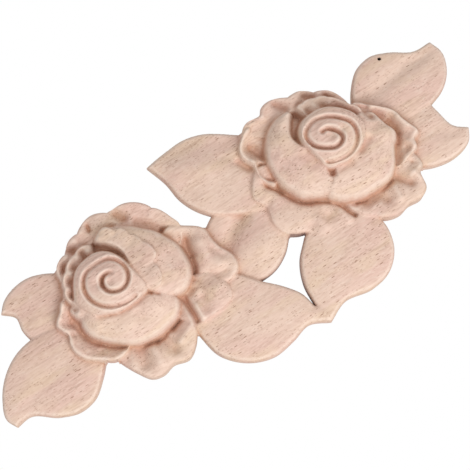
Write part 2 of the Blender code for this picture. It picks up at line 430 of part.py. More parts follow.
def left_rose():
    """The left rose, nearly the right one's mirror image. Its spiral winds out the other way."""
    place, hand = LEFT_ROSE, -1
    top_ring = petal(
        place, hand, [
            (38, 14.6, 7.5, 17.2, 9.4), (46, 14.8, 8.4, 18.2, OUTER_RIM),
            (67, 15.0, 9.0, 19.2, OUTER_RIM), (90, 15.2, 9.2, 21.6, OUTER_RIM),
            (107, 17.5, 9.3, 24.6, OUTER_RIM), (119.5, 19.6, 9.2, 25.7, OUTER_RIM),
            (135, 21.2, 8.6, 29.0, OUTER_RIM), (152, 22.6, 7.4, 31.0, 9.2), (164, 24.2, 6.6, 31.0, 8.8),
            (170, 25.0, 6.2, 31.4, 8.6), (175, 25.6, 5.8, 30.6, 8.4), (180, 26.2, 5.4, 28.6, 8.0)],
        lobes=(42, 67, 90, 119.5, 150, 180), lobe_reach=1.2, hollow=0.2, hollow_at=0.5, lip=0.3, strokes=[
            (1.5, -3.0, (-52.8, 26.0), (-51.2, 24.8)), (1.6, 1.2, (-49.2, 27.0)),
            (0.7, -2.2, (-42.5, 29.6), (-42.9, 27.6)), (1.2, -0.8, (-46.8, 24.7), (-44.0, 24.6)),
            (2.2, 1.0, (-38.8, 28.2)), (1.8, -3.0, (-32.0, 28.0), (-30.4, 25.2)),
            (1.1, -1.2, (-36.4, 25.0), (-35.0, 24.6)), (1.2, -2.0, (-57.0, 21.6), (-57.8, 20.4)),
            (1.4, 0.8, (-45.6, 28.4)), (1.3, 0.8, (-54.6, 23.6)),
            (1.3, -1.6, (-27.4, 21.8), (-23.8, 18.4), (-21.8, 15.4)),
            (1.3, -3.4, (-21.4, 14.6), (-19.6, 11.4), (-18.4, 8.6)), (1.6, 0.6, (-22.0, 20.0))])
    upper_right = petal(
        place, hand, [
            (166, 24.6, 5.0, 29.6, 8.0), (172, 25.6, 5.4, 33.0, 8.2), (180, 26.6, 5.8, 38.2, 7.8),
            (186, 27.2, 6.0, 38.8, 7.6), (192, 27.6, 6.0, 40.4, 7.4), (198.5, 28.0, 6.0, 44.2, 7.2),
            (203, 27.8, 6.0, 45.0, 7.6), (208.5, 27.2, 5.6, 43.0, 7.6), (214, 26.0, 4.8, 38.0, 6.6)],
        bulge=1.6, edge=SOFT_ROUND, strokes=[
            (1.9, -4.6, (-16.5, 7.0), (-17.4, 4.6), (-17.8, 1.6)),
            (1.4, -3.8, (-17.9, 1.2), (-18.9, -2.6), (-20.5, -5.4)),
            (2.4, 1.3, (-12.5, 3.0), (-13.5, -3.0), (-11.0, -6.4)),
            (1.8, -1.3, (-19.0, -7.6), (-10.5, -9.8)), (1.2, -0.7, (-9.8, -1.0), (-8.0, -5.0))])
    cleft = (1.1, -3.8, (-27.6, -8.8), (-27.8, -13.6), (-27.8, -17.0), (-28.2, -20.0))
    right_lobe = petal(
        place, hand, [
            (204, 27.4, 4.4, 36.0, 6.8), (212, 26.0, 4.8, 41.2, 8.0), (217, 24.0, 5.0, 42.6, 8.4),
            (223, 23.4, 5.4, 40.8, 8.4), (230, 24.4, 5.4, 36.8, 8.2), (238, 24.4, 5.0, 32.8, 7.8)],
        bulge=1.6, edge=SOFT_ROUND, strokes=[
            cleft, (1.3, -1.0, (-21.5, -7.6), (-24.5, -9.6), (-27.6, -10.2)),
            (2.0, -1.5, (-22.5, -13.6), (-23.2, -17.5)), (2.6, 1.2, (-15.4, -13.2)),
            (1.8, 0.7, (-18.5, -12.5), (-16.8, -17.5)), (1.3, 0.8, (-25.6, -15.0), (-25.8, -20.0))])
    lower_left = petal(
        place, hand, [
            (228, 24.2, 4.2, 29.0, 6.8), (233, 24.8, 4.8, 31.6, 7.2), (241, 24.4, 5.4, 34.2, 7.6),
            (248, 24.0, 5.6, 36.2, 7.8), (255, 23.5, 5.8, 37.2, 7.8), (263.5, 22.9, 5.8, 35.0, 7.8),
            (272, 22.2, 5.8, 35.8, 7.8), (279, 21.5, 5.4, 34.8, 7.8), (284.5, 20.9, 5.0, 31.8, 7.6),
            (290, 20.2, 4.4, 29.0, 7.0), (297, 19.6, 3.4, 25.8, 5.6)],
        bulge=1.4, edge=THICK_ROUND, strokes=[
            cleft, (1.6, -3.6, (-31.0, -14.2), (-36.6, -16.2)),
            (1.2, -2.0, (-36.6, -16.2), (-40.4, -17.0)), (1.5, -3.4, (-40.6, -17.2), (-43.6, -17.6)),
            (1.2, -2.0, (-44.0, -17.6), (-49.0, -16.4)), (2.2, -2.0, (-50.0, -17.4), (-51.2, -22.0)),
            (2.0, 1.3, (-46.0, -19.5), (-46.4, -24.6)), (2.0, -2.0, (-41.0, -18.0), (-39.8, -23.4)),
            (1.5, 1.0, (-37.0, -22.4), (-31.6, -20.0)), (1.6, -0.6, (-56.0, -17.6)),
            (0.7, 0.7, (-29.7, -14.6), (-30.0, -19.4))])
    left_ring = petal(
        place, hand, [
            (-76, 20.6, 4.2, 21.6, 8.6), (-69, 20.0, 4.6, 24.4, 9.0), (-62, 19.4, 4.8, 25.8, 9.2),
            (-50, 18.5, 4.8, 25.8, OUTER_RIM), (-38, 18.0, 4.8, 26.4, OUTER_RIM),
            (-29, 17.0, 4.8, 25.6, OUTER_RIM), (-24, 16.4, 4.8, 24.4, OUTER_RIM),
            (-18, 15.3, 4.8, 22.2, OUTER_RIM), (-11, 15.4, 5.0, 22.5, OUTER_RIM),
            (-4, 15.4, 5.5, 22.8, OUTER_RIM), (5, 14.6, 6.2, 19.4, 9.8), (12, 13.6, 6.8, 18.0, 10.6),
            (24, 12.6, 8.0, 15.6, 11.2)],
        bulge=0.7, lip=0.35, strokes=[
            (1.5, -2.0, (-65.0, 3.6), (-64.0, 0.6), (-63.4, -2.6), (-60.6, -7.2)),
            (1.3, -2.0, (-60.6, -7.2), (-57.0, -10.4), (-53.6, -13.0)), (1.3, -1.3, (-66.4, -0.2)),
            (1.8, 0.5, (-66.5, -6.5)), (1.6, -0.8, (-61.5, -10.6)),
            (1.1, -2.6, (-63.4, 12.4), (-62.4, 10.6)), (1.0, 0.6, (-67.4, 6.6))])
    frill = petal(
        place, hand, [
            (3, 11, 10.0, 13.6, 12.0), (15, 11, 9.2, 14.8, FRILL_RIM), (31, 11, 9.2, 15.4, FRILL_RIM),
            (50, 11, 10.4, 15.6, FRILL_RIM), (74, 11, 10.8, 15.9, FRILL_RIM),
            (88, 11, 10.6, 15.9, FRILL_RIM), (96, 11.5, 10.2, 15.4, 12.0)],
        curl=1.2, lobes=(3, 27, 50, 74, 96), lobe_reach=0.6, strokes=[
            (1.2, 1.4, (-46.9, 20.8)), (1.1, 1.2, (-51.6, 21.0)), (1.0, 1.2, (-56.2, 17.6)),
            (0.9, 1.0, (-59.6, 13.6)), (1.0, -2.2, (-49.3, 22.0), (-49.0, 19.8)),
            (1.1, -1.8, (-54.2, 19.0)), (1.1, -1.8, (-57.8, 15.6)), (0.9, -1.8, (-60.0, 11.2))])
    wedge = (0.75, -2.6, (-37.6, -1.9), (-36.4, -3.2))
    join = (0.45, -1.5, (-36.4, -3.2), (-34.4, -5.1))
    lower = petal(
        place, hand, [
            (-142, 11.4, 13.6, 20.8, 10.2), (-137, 11.0, 14.2, 23.4, 10.6),
            (-131, 10, BIG_TOP - 0.4, 24.8, BIG_RIM), (-124, 9, BIG_TOP, 25.2, BIG_RIM),
            (-115, 9, BIG_TOP, 24.5, BIG_RIM), (-100, 9, BIG_TOP, 23.4, BIG_RIM),
            (-83, 9, BIG_TOP, 22.0, BIG_RIM), (-66, 9, BIG_TOP, 20.0, BIG_RIM),
            (-50, 9, BIG_TOP, 18.9, 11.2), (-36, 9, 14.8, 18.2, 11.6), (-25, 9, 14.2, 16.8, 12.0),
            (-19, 9, 13.8, 15.7, 12.2), (-10, 9, 13.0, 15.8, 12.4), (0, 9, 12.0, 15.9, 12.6),
            (9, 9, 11.0, 14.4, 12.6)],
        bulge=1.3, edge=SOFT_ROUND, strokes=[
            wedge, join, (1.0, -1.0, (-55.6, -0.9), (-50.6, -2.6)),
            (1.1, -1.0, (-50.6, -2.6), (-45.0, -3.8), (-39.0, -2.8)), (3.5, 0.7, (-50.0, -9.0)),
            (3.0, 0.7, (-37.5, -8.0)), (1.4, -0.7, (-44.5, -6.5), (-43.5, -9.0)),
            (1.1, -2.8, (-62.0, 8.0), (-61.6, 6.2)), (1.8, -0.7, (-60.3, 2.4)),
            (1.6, 0.5, (-58.5, -3.5))])
    side = petal(
        place, hand, [
            (104, 15.6, 12.2, 16.8, 12.0), (108, 15.0, 12.8, 18.4, 11.8), (115, 14.6, 13.2, 19.4, 11.6),
            (127, 13.6, 13.6, 20.9, BIG_RIM), (140, 12.7, 14.0, 21.9, BIG_RIM),
            (151, 11.4, 14.6, 22.8, BIG_RIM), (160, 10.0, 14.8, 24.2, BIG_RIM),
            (170, 9.4, BIG_TOP, 25.4, BIG_RIM), (180, 9.2, BIG_TOP, 27.0, BIG_RIM),
            (190, 9.2, BIG_TOP, 27.7, BIG_RIM), (199, 9.6, BIG_TOP, 28.1, BIG_RIM),
            (207, 10.0, 14.8, 27.6, BIG_RIM), (214, 10.4, 14.6, 26.2, BIG_RIM),
            (222, 11.0, 14.4, 22.6, BIG_RIM), (227, 11.4, 13.6, 20.0, 10.2)],
        bulge=1.1, edge=THICK_ROUND, strokes=[
            wedge, join, (2.0, 0.6, (-39.4, 22.4)), (2.6, 0.5, (-30.0, 17.5)), (3.0, 0.5, (-25.0, -2.0)),
            (2.4, 0.5, (-24.0, 8.0)), (1.0, -1.0, (-37.4, 5.4), (-37.6, 1.6))])
    ruffle = petal(
        place, hand, [
            (109, 15.0, 13.2, 18.0, 13.2), (116, 14.6, 14.0, 19.2, 13.6), (124, 13.9, 14.6, 18.8, 14.2),
            (136, 13.0, 15.0, 19.2, 14.1), (147, 11.9, 15.3, 18.4, 14.6), (161, 10.4, 15.7, 18.5, 15.2),
            (174, 9.7, 15.9, 18.8, 15.7), (181, 9.6, 15.9, 18.6, 15.7), (187, 9.6, 15.9, 17.1, 15.8),
            (197, 9.8, 15.9, 17.5, 16.0), (206, 10.3, 15.8, 17.7, 15.8), (216, 10.8, 15.3, 17.0, 15.1),
            (222, 11.4, 14.6, 15.2, 14.2)],
        lobes=(109, 127, 144, 160, 187, 222), lobe_reach=0.7, strokes=[
            (1.0, -0.5, (-36.6, 20.6), (-35.4, 21.8)), (1.1, -0.4, (-34.0, 14.6), (-31.6, 16.0)),
            (1.2, -0.5, (-32.6, 4.6), (-30.0, 4.8)), (1.8, 0.3, (-31.6, 8.4)), (1.8, 0.3, (-33.2, 0.4)),
            (1.0, -1.0, (-37.4, 5.4), (-37.6, 1.6))])
    collar = (
        (4, 12.8), (20, 12.0), (37, 11.9), (58, 12.1), (75, 11.7), (104, 11.4), (118, 10.8), (132, 10.0),
        (154, 9.2), (178, 9.0), (200, 10.6), (219, 13.2), (230, 12.2), (248, 10.7), (270, 10.1),
        (288, 10.2), (306, 10.4), (322, 11.4), (340, 12.0))
    groove = (
        (-143, 3.5, 0.7), (-110, 2.95, 2.0), (-66, 2.5, 3.2), (-24, 2.2, 3.3), (20, 2.35, 3.2),
        (57, 3.0, 2.8), (90, 3.9, 2.4), (133, 5.85, 2.2), (171, 7.3, 2.5), (201, 7.95, 2.4),
        (232, 8.2, 2.0), (266, 7.6, 1.3), (285, 7.75, 1.2), (303, 8.4, 1.6), (335, 8.65, 2.5),
        (364, 8.5, 2.6), (395, 8.25, 2.1), (429, 8.45, 1.6), (460, 9.3, 1.4), (485, 10.6, 1.2))
    centre = bud(
        place, hand, collar, groove, middle=(place[0] + 0.8, place[1] - 1.0), strokes=[
            (1.6, -1.1, (-50.2, 8.6)), (1.6, -0.8, (-46.6, 6.8)),
            (1.0, -1.6, (-48.6, 9.4), (-49.6, 7.6))])
    floor = ground(place, hand, (29, 27, 22, 14, 15, 24), [(2.6, 3.0, (-38.5, 14.0), (-43.0, 20.5))])
    petals = [upper_right, right_lobe, lower_left, top_ring, left_ring, frill, lower, side, ruffle]
    return [floor] + petals + [centre]


def height_of(element, places):
    """Height of one element, rounded at its edge and falling steeply outside it."""
    low = element.outline.min(0) - MARGIN
    high = element.outline.max(0) + MARGIN
    near = ((places > low) & (places < high)).all(1)
    height = np.full(len(places), NOWHERE)
    distance = np.full(len(places), NOWHERE)
    if near.any():
        spot = places[near]
        depth = inside_distance(spot, element.outline)
        worn = np.clip(1.0 - depth / element.edge, 0.0, 1.0)
        top = element.surface(spot, depth) - element.fall * (1.0 - np.sqrt(1.0 - worn**2))
        height[near] = top - WALL_SLOPE * np.maximum(-depth, 0.0)
        distance[near] = depth
    return height, distance


def relief(elements, places):
    """Height of the carving at each place, and how far inside its outline the place lies.

    A petal covers the leaves that pass under it, even where its own surface dips below theirs.
    """
    leaves_top = np.full(len(places), NOWHERE)
    petals_top = np.full(len(places), NOWHERE)
    inside = np.full(len(places), NOWHERE)
    covered = np.zeros(len(places), bool)
    for element in elements:
        top, distance = height_of(element, places)
        inside = np.maximum(inside, distance)
        if element.covers is None:
            leaves_top = np.maximum(leaves_top, top)
        else:
            petals_top = np.maximum(petals_top, top)
            covered |= element.covers & (distance > element.edge)
    return np.where(covered, petals_top, np.maximum(leaves_top, petals_top)), inside


def normals_of(outline):
    """Unit vectors that point into a closed outline."""
    ahead = np.roll(outline, -1, axis=0) - np.roll(outline, 1, axis=0)
    area = (outline[:, 0] * np.roll(outline[:, 1], -1) - np.roll(outline[:, 0], -1) * outline[:, 1]).sum()
    inward = np.stack([-ahead[:, 1], ahead[:, 0]], 1) * math.copysign(1.0, area)
    return inward / np.maximum(np.hypot(*inward.T), 1e-9)[:, None]


def edge_lines(elements):
    """The lines that the mesh follows: each visible edge, its rounding, and the foot of its wall."""
    lines = []
    for element in elements:
        others = [other for other in elements if other is not element]
        inward = normals_of(element.outline)
        own, _ = height_of(element, element.outline)
        below, outside = relief(others, element.outline)
        shows = own > below
        drop = np.clip(own - np.maximum(below, 0.0), 0.0, 8.0) / WALL_SLOPE
        foot_shows = shows & (outside > 0.0) & (drop > 0.3)
        lines.append((element.outline, shows))
        lines.append((element.outline + inward * element.edge * 0.2, shows))
        lines.append((element.outline + inward * element.edge, shows))
        lines.append((element.outline - inward * drop[:, None], foot_shows))
    return lines


def mesh_plan(elements):
    """A triangle mesh of the whole outline, split along the carving's own edges: places, heights, faces."""
    places = []
    edges = []
    count = 0
    for line, shows in edge_lines(elements):
        following = np.roll(shows, -1)
        places.append(line)
        for index in np.nonzero(shows | following)[0]:
            edges.append((count + int(index), count + int((index + 1) % len(line))))
        count += len(line)
    used = {index for edge in edges for index in edge}
    kept = sorted(used)
    number = {old: new for new, old in enumerate(kept)}
    edge_places = np.concatenate(places)[kept]
    edges = [(number[a], number[b]) for a, b in edges]
    free = between_points(elements, edge_places)
    points = [Vector(place) for place in np.concatenate([edge_places, free])]
    spots, _, faces, _, _, _ = delaunay_2d_cdt(points, edges, [], 0, MERGE / 2, False)
    spots = np.array([tuple(spot) for spot in spots])
    faces = np.array(faces)
    height, inside = relief(elements, spots)
    doubtful = (inside[faces] < MERGE).all(1)
    kept = np.ones(len(faces), bool)
    kept[doubtful] = relief(elements, spots[faces[doubtful]].mean(1))[1] > 0.0
    return spots, height, faces[kept]


def between_points(elements, edge_places):
    """Points on a triangular grid, where they lie inside the outline and clear of the edges."""
    low = edge_places.min(0)
    high = edge_places.max(0)
    rows = np.arange(low[1], high[1], SURFACE_STEP * math.sqrt(3) / 2)
    columns = np.arange(low[0], high[0], SURFACE_STEP)
    x, z = np.meshgrid(columns, rows)
    x = x + SURFACE_STEP / 2 * (np.arange(len(rows)) % 2)[:, None]
    grid = np.stack([x.ravel(), z.ravel()], 1)
    nearest = KDTree(len(edge_places))
    for index, place in enumerate(edge_places):
        nearest.insert((place[0], place[1], 0.0), index)
    nearest.balance()
    clear = [nearest.find((place[0], place[1], 0.0))[2] > SURFACE_STEP / 2 for place in grid]
    grid = grid[np.array(clear)]
    _, inside = relief(elements, grid)
    return grid[inside > SURFACE_STEP / 2]


def carved_face(elements):
    """The carved face as an open mesh."""
    spots, height, faces = mesh_plan(elements)
    shape = bmesh.new()
    corners = [shape.verts.new((x * MM, -h * MM, z * MM)) for (x, z), h in zip(spots, height)]
    for face in faces:
        shape.faces.new([corners[index] for index in face])
    loose = [corner for corner in shape.verts if not corner.link_faces]
    bmesh.ops.delete(shape, geom=loose, context="VERTS")
    bmesh.ops.remove_doubles(shape, verts=shape.verts[:], dist=MERGE * MM)
    return shape


def thinned(shape, name, triangles):
    """The same mesh with fewer triangles."""
    mesh = bpy.data.meshes.new(name)
    shape.to_mesh(mesh)
    shape.free()
    carrier = bpy.data.objects.new(name, mesh)
    bpy.context.scene.collection.objects.link(carrier)
    thin = carrier.modifiers.new("thin", "DECIMATE")
    thin.ratio = min(1.0, triangles / len(mesh.polygons))
    bpy.context.view_layer.update()
    result = bpy.data.meshes.new_from_object(carrier.evaluated_get(bpy.context.evaluated_depsgraph_get()))
    bpy.data.objects.remove(carrier)
    bpy.data.meshes.remove(mesh)
    shape = bmesh.new()
    shape.from_mesh(result)
    bpy.data.meshes.remove(result)
    return shape


def enclosed(places, start, end):
    """Whether each place lies inside the loops that the edges from start to end make."""
    above = places[:, None, 1] > start[None, :, 1]
    above_end = places[:, None, 1] > end[None, :, 1]
    rise = end[:, 1] - start[:, 1]
    slant = (end[:, 0] - start[:, 0]) / np.where(rise == 0, 1.0, rise)
    crossing = start[:, 0] + (places[:, None, 1] - start[None, :, 1]) * slant
    return ((above != above_end) & (places[:, None, 0] < crossing)).sum(1) % 2 == 1


def close_back(shape):
    """Carries the face's outer edge straight down to the plane of the back, and closes the back."""
    border = [edge for edge in shape.edges if edge.is_boundary]
    walls = bmesh.ops.extrude_edge_only(shape, edges=border)["geom"]
    feet = [item for item in walls if isinstance(item, bmesh.types.BMVert)]
    rim = [item for item in walls if isinstance(item, bmesh.types.BMEdge)]
    for foot in feet:
        foot.co.y = 0.0
    number = {foot: index for index, foot in enumerate(feet)}
    edges = [(number[edge.verts[0]], number[edge.verts[1]]) for edge in rim]
    places = np.array([(foot.co.x, foot.co.z) for foot in feet]) / MM
    _, _, faces, _, _, _ = delaunay_2d_cdt([Vector(place) for place in places], edges, [], 0, 0.0, False)
    start = places[[edge[0] for edge in edges]]
    end = places[[edge[1] for edge in edges]]
    kept = enclosed(places[np.array(faces)].mean(1), start, end)
    for face, inside in zip(faces, kept):
        if inside:
            shape.faces.new([feet[index] for index in face])
    bmesh.ops.triangulate(shape, faces=[face for face in shape.faces if len(face.verts) > 3])
    bmesh.ops.recalc_face_normals(shape, faces=shape.faces[:])


def wood():
    """The pale bare wood."""
    material = bpy.data.materials.new("bare_wood")
    material.use_nodes = True
    shader = material.node_tree.nodes["Principled BSDF"]
    shader.inputs["Base Color"].default_value = WOOD_COLOUR
    shader.inputs["Roughness"].default_value = WOOD_ROUGHNESS
    shader.inputs["Metallic"].default_value = 0.0
    material.diffuse_color = WOOD_COLOUR
    return material


def build():
    for item in list(bpy.data.objects):
        bpy.data.objects.remove(item)
    collection = bpy.data.collections.new("wood_applique")
    bpy.context.scene.collection.children.link(collection)
    elements = leaves() + right_rose() + left_rose()
    shape = thinned(carved_face(elements), "carving", TRIANGLES)
    close_back(shape)
    mesh = bpy.data.meshes.new("applique")
    shape.to_mesh(mesh)
    shape.free()
    mesh.materials.append(wood())
    mesh.shade_smooth()
    mesh.set_sharp_from_angle(angle=math.radians(40))
    applique = bpy.data.objects.new("applique", mesh)
    collection.objects.link(applique)


build()
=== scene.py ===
"""Carved wooden applique: the finished carving, its bare rubberwood, the camera and the light.

The relief is worked out as a height above the flat back for every place (x, z), in millimetres, and is cut
here at a finer spacing than the CAD solid's, from the same sizes.
"""
import math
from collections import namedtuple

import bmesh
import bpy
import numpy as np
from mathutils import Matrix, Vector
from mathutils.geometry import delaunay_2d_cdt
from mathutils.kdtree import KDTree


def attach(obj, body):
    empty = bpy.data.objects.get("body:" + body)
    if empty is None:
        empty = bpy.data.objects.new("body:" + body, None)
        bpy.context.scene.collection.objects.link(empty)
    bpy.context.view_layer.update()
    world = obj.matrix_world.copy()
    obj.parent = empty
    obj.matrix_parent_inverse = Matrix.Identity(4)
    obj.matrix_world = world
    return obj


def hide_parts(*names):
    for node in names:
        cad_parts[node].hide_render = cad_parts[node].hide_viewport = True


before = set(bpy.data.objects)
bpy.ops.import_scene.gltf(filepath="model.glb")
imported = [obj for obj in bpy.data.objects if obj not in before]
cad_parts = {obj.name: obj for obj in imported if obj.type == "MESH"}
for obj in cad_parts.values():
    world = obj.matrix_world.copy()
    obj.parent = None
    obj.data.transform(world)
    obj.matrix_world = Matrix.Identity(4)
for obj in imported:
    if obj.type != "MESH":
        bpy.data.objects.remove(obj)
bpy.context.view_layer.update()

# Driving dimensions, in millimetres where nothing else is said
MM = 0.001
LEAF_EDGE = 5.0  # height of a leaf's edge above the back
FLOOR = 3.0  # height of the ground between the petals
CORE = 13.0  # height of the ground under a rose's middle
OUTER_RIM = 9.5  # height of the outer petals' rims
FRILL_RIM = 12.6  # height of the frill's rim behind the bud
BIG_RIM = 11.0  # height of the two big petals' rims
BIG_TOP = 15.0  # height of the big petals beside the bud
BUD_TOP = 19.5  # height of the bud's crown
BUD_FALL = 0.022  # fall of the bud's dome, for each square millimetre out from its crown
LEAF_ROUND = 1.1  # how far in from a leaf's outline its edge is rounded
LEAF_FALL = 2.6  # how far that edge falls
THICK_ROUND = 1.3  # radius that the big petals' thick rims are rubbed down to
SOFT_ROUND = 1.1  # the same for the lower petals
THIN_ROUND = 0.6  # the same for thin rims
WALL_SLOPE = 4.0  # drop of a petal's side for each millimetre outwards
SCOOP_WIDTH = 0.28  # half width of a scallop's hollow, as a share of the petal's length
SCOOP_PLACE = 0.5  # where that hollow lies, as a share of that length
SCALLOP_POWER = 0.6  # under 1, a scallop's rim is fuller than half a wave
GROOVE_WIDTH = 0.68  # half width of the spiral cut in a bud
GROOVE_LIP_PLACE = 1.8 * GROOVE_WIDTH  # how far from the cut's middle its thin lip lies
GROOVE_LIP = 0.35  # height of that lip, along the cut's outer side
GROOVE_STEP = 4.0  # degrees between the points along that cut
COLLAR_STEP = 5.0  # degrees between the points along a bud's outline
LIP_PLACE = 0.9  # how far a petal's lip lies inside its edge
LIP_WIDTH = 0.9  # half width of that lip
SHORTEST = 0.1  # the least length that a petal is reckoned to have
GROUND_START = 0.5  # radius at which the ground under a rose begins
GROUND_CURL = 0.5  # under 1, it falls fastest near the middle
CROWN_ROLL = 6.0  # how far inside its edge a leaf has two thirds of its crown
VALLEY_WIDTH = 3.0  # half width of the valley along a leaf's midrib
VALLEY_END = 4.0  # how far inside a leaf's edge that valley has its full depth
RIGHT_ROSE = (46.4, 9.0)  # middle of the right rose
LEFT_ROSE = (-47.0, 7.1)  # middle of the left rose
OUTLINE_STEP = 0.42  # spacing of the points along an outline
SURFACE_STEP = 0.42  # spacing of the points between the outlines
MARGIN = 4.0  # how far outside its outline a petal's falling side is worked out
NOWHERE = -50.0  # a height and a distance that nothing reaches
MERGE = 0.02  # points nearer than this are one
WALL_CUT = 8.0  # the most of a wall's drop that the mesh follows to its foot
SHORT_WALL = 0.3  # a wall that reaches out less has no line at its foot
CREST_SHARE = 0.2  # where the mesh has a line on an edge's rounding, as a share of it
TINY = 1e-12  # keeps a division from failing
PORTION = 4000  # places worked out at a time

# Finishing of the carved face, in millimetres and in rounds of smoothing
RUBBING = 2  # rounds that take the sharpness off the creases
NARROW_ROUNDS = 12  # rounds that find narrow hollows
WIDE_ROUNDS = 130  # rounds that find wide hollows
PIN_HOLE = (77.5, 24.6)  # the pin hole in the right upper leaf, painted black inside as shade
PIN_RADIUS = 0.5
PIN_DEPTH = 2.0
SPLIT = [(24.4, 29.4), (27.0, 29.2)]  # the split near the rim of the right rose's outer petal, painted dark inside as shade
SPLIT_WIDTH = 0.5
SPLIT_DEPTH = 0.4
OPENING = (9.7, -24.2)  # middle of the opening between the leaves, whose sides get the darkest painted shade
OPENING_HALF = (12.5, 13.2)  # half its size
SIDE_ROUNDS = 1  # rounds that carry that darkness over the edge
OUTER_SIDE = 0.12  # how dark the outer sides are, as a share of that
SHARP_ANGLE = math.radians(50.0)  # edges sharper than this aren't shaded smooth
BACK_EDGE = (-0.05 * MM, -0.3 * MM)  # Y between which the plain back passes into the tinted sides

# Colours of the wood, and of the shade and highlights painted into it
PALE_WOOD = (0.725, 0.535, 0.435, 1.0)
PINK_WOOD = (0.70, 0.485, 0.405, 1.0)
HONEY_WOOD = (0.71, 0.525, 0.395, 1.0)
PORE_BROWN = (0.34, 0.19, 0.13, 1.0)
# painted shade on the cut sides, over the sides' own darker cut wood
CUT_SIDE_AND_SHADE_BROWN = (0.28, 0.16, 0.13, 1.0)
# painted shade in the hollows, partly a warmer tone of the wood there
HOLLOW_SHADE_BROWN = (0.46, 0.20, 0.10, 1.0)
# pale fibres of the grain, and painted highlights on the ridges
PALE_FIBRE_AND_RIDGE_HIGHLIGHT = (0.80, 0.65, 0.55, 1.0)
# painted shade in the pin hole and the split
MARK_SHADE_BLACK = (0.012, 0.008, 0.006, 1.0)

# The wood's patterns: size along the grain and across it, in millimetres, and detail
PINK_BANDS = (34, 13, 2)
HONEY_BANDS = (24, 7, 2)
STREAKS = (9, 0.7, 3)
STREAK_PATCHES = (30, 10, 2)
PATCH_RAMP = (0.36, 0.62, 0.25)  # where patches begin and are full, and what is left between them
FIBRES = (2.4, 0.6, 3)
GROWTH_LAYERS = (30, 1.1, 1)
FUZZ = (1.6, 0.3, 2)
FUZZ_DEPTH = 0.12  # in millimetres
FUZZ_STRENGTH = 0.5  # share of that depth that shows
ROUGHNESS = (0.62, 0.8)  # of the surface and in its pores
SHINE = 0.3  # level of the highlights

# The pores: size of their cells along and across the grain, and how much of a cell a pore fills
DOTS = (1.3, 0.45, 0.4)
DASHES = (3.4, 0.66, 0.3)
PORE_CHANCE = (0.35, 0.7)  # the share of cells with no pore, and the share without a full one
CLUSTER = (6, 14)  # cells in a cluster, along the grain and across it
CLUSTER_DETAIL = 2.0
CLUSTER_RAMP = (0.4, 0.58, 0.2)  # the same for clusters as for patches
MARK_SHADE_RAMP = (0.15, 0.7)  # depths in millimetres between which the painted shade in a mark turns black

# The camera of the photograph
ROLL = math.radians(33.0)  # slope of the applique's length across the picture
LEAN = math.radians(10.0)  # how far the camera looks up from below
DISTANCE = 560.0  # from the middle of the back, in millimetres
PICTURE = 470  # width and height of the picture, in pixels
PIXEL = 0.3545  # width that one pixel covers at that distance, in millimetres
AIM_DOWN = 0.15  # how far below the origin the camera aims
CLIP_START = 0.01  # in metres
SENSOR = 36.0  # width of the camera's sensor, in millimetres

# The light
SKY_STRENGTH = 0.7
KEY_SIZE = 0.45  # side of the square lamp, in metres
KEY_POWER = 3.7  # in watts
KEY_RIGHT = 0.30  # the lamp's place from the camera, in metres to the right
KEY_DOWN = 0.35  # and down
WHITE = (1.0, 1.0, 1.0, 1.0)
FLOOR_PALE = (0.85, 0.85, 0.85, 1.0)
FLOOR_ROUGHNESS = 0.8
FLOOR_SIZE = 3.0  # side of the pale floor, in metres
FLOOR_LEVEL = -0.8  # its height, in metres

Element = namedtuple("Element", "outline surface edge fall covers")


def smooth_curve(knots, values, where):
    """Values of the smooth curve that passes through the given knots."""
    knots = np.asarray(knots, float)
    values = np.asarray(values, float)
    slopes = np.gradient(values, knots, axis=0)
    first = np.clip(np.searchsorted(knots, where) - 1, 0, len(knots) - 2)
    span = knots[first + 1] - knots[first]
    t = np.clip((where - knots[first]) / span, 0.0, 1.0)
    if values.ndim > 1:
        t = t[:, None]
        span = span[:, None]
    start = (2 * t**3 - 3 * t**2 + 1) * values[first] + (t**3 - 2 * t**2 + t) * span * slopes[first]
    end = (3 * t**2 - 2 * t**3) * values[first + 1] + (t**3 - t**2) * span * slopes[first + 1]
    return start + end


def run(points):
    """Evenly spaced points on the smooth curve through a few points."""
    points = np.asarray(points, float)
    along = np.concatenate([[0.0], np.cumsum(np.hypot(*np.diff(points, axis=0).T))])
    count = max(2, int(along[-1] / OUTLINE_STEP) + 1)
    return smooth_curve(along, points, np.linspace(0.0, along[-1], count))


def outline_of(*runs):
    """A closed outline of smooth runs that meet at corners. Each run starts where the one before it ends."""
    corner = runs[-1][-1]
    pieces = []
    for points in runs:
        pieces.append(run([corner] + points)[:-1])
        corner = points[-1]
    return np.concatenate(pieces)


def enclosed(places, start, end):
    """Whether each place lies inside the loops that the edges from start to end make."""
    side = end - start
    rise = places[:, None, 1] - start[:, 1]
    crossing = start[:, 0] + side[:, 0] * rise / np.where(side[:, 1] == 0, 1.0, side[:, 1])
    above_end = places[:, None, 1] - end[:, 1] < 0
    crossed = ((rise < 0) != above_end) & (places[:, None, 0] < crossing)
    return crossed.sum(1) % 2 == 1


def inside_distance(places, outline):
    """Distance of each place to an outline, negative outside it."""
    following = np.roll(outline, -1, axis=0)
    side = following - outline
    length2 = np.maximum((side**2).sum(1), TINY)
    result = np.empty(len(places))
    for first in range(0, len(places), PORTION):
        part = places[first:first + PORTION]
        offset = part[:, None, :] - outline[None]
        t = np.clip((offset * side).sum(2) / length2, 0.0, 1.0)
        distance = np.sqrt(((offset - t[..., None] * side)**2).sum(2).min(1))
        result[first:first + PORTION] = np.where(enclosed(part, outline, following), distance, -distance)
    return result


def line_distance(places, line):
    """Distance of each place to a line through a few places, or to a single place."""
    nearest = np.full(len(places), np.inf)
    for start, end in zip(line, line[1:] or line):
        start = np.asarray(start, float)
        side = np.asarray(end, float) - start
        offset = places - start
        t = np.clip(offset @ side / max(side @ side, TINY), 0.0, 1.0)
        nearest = np.minimum(nearest, np.hypot(*(offset - t[:, None] * side).T))
    return nearest


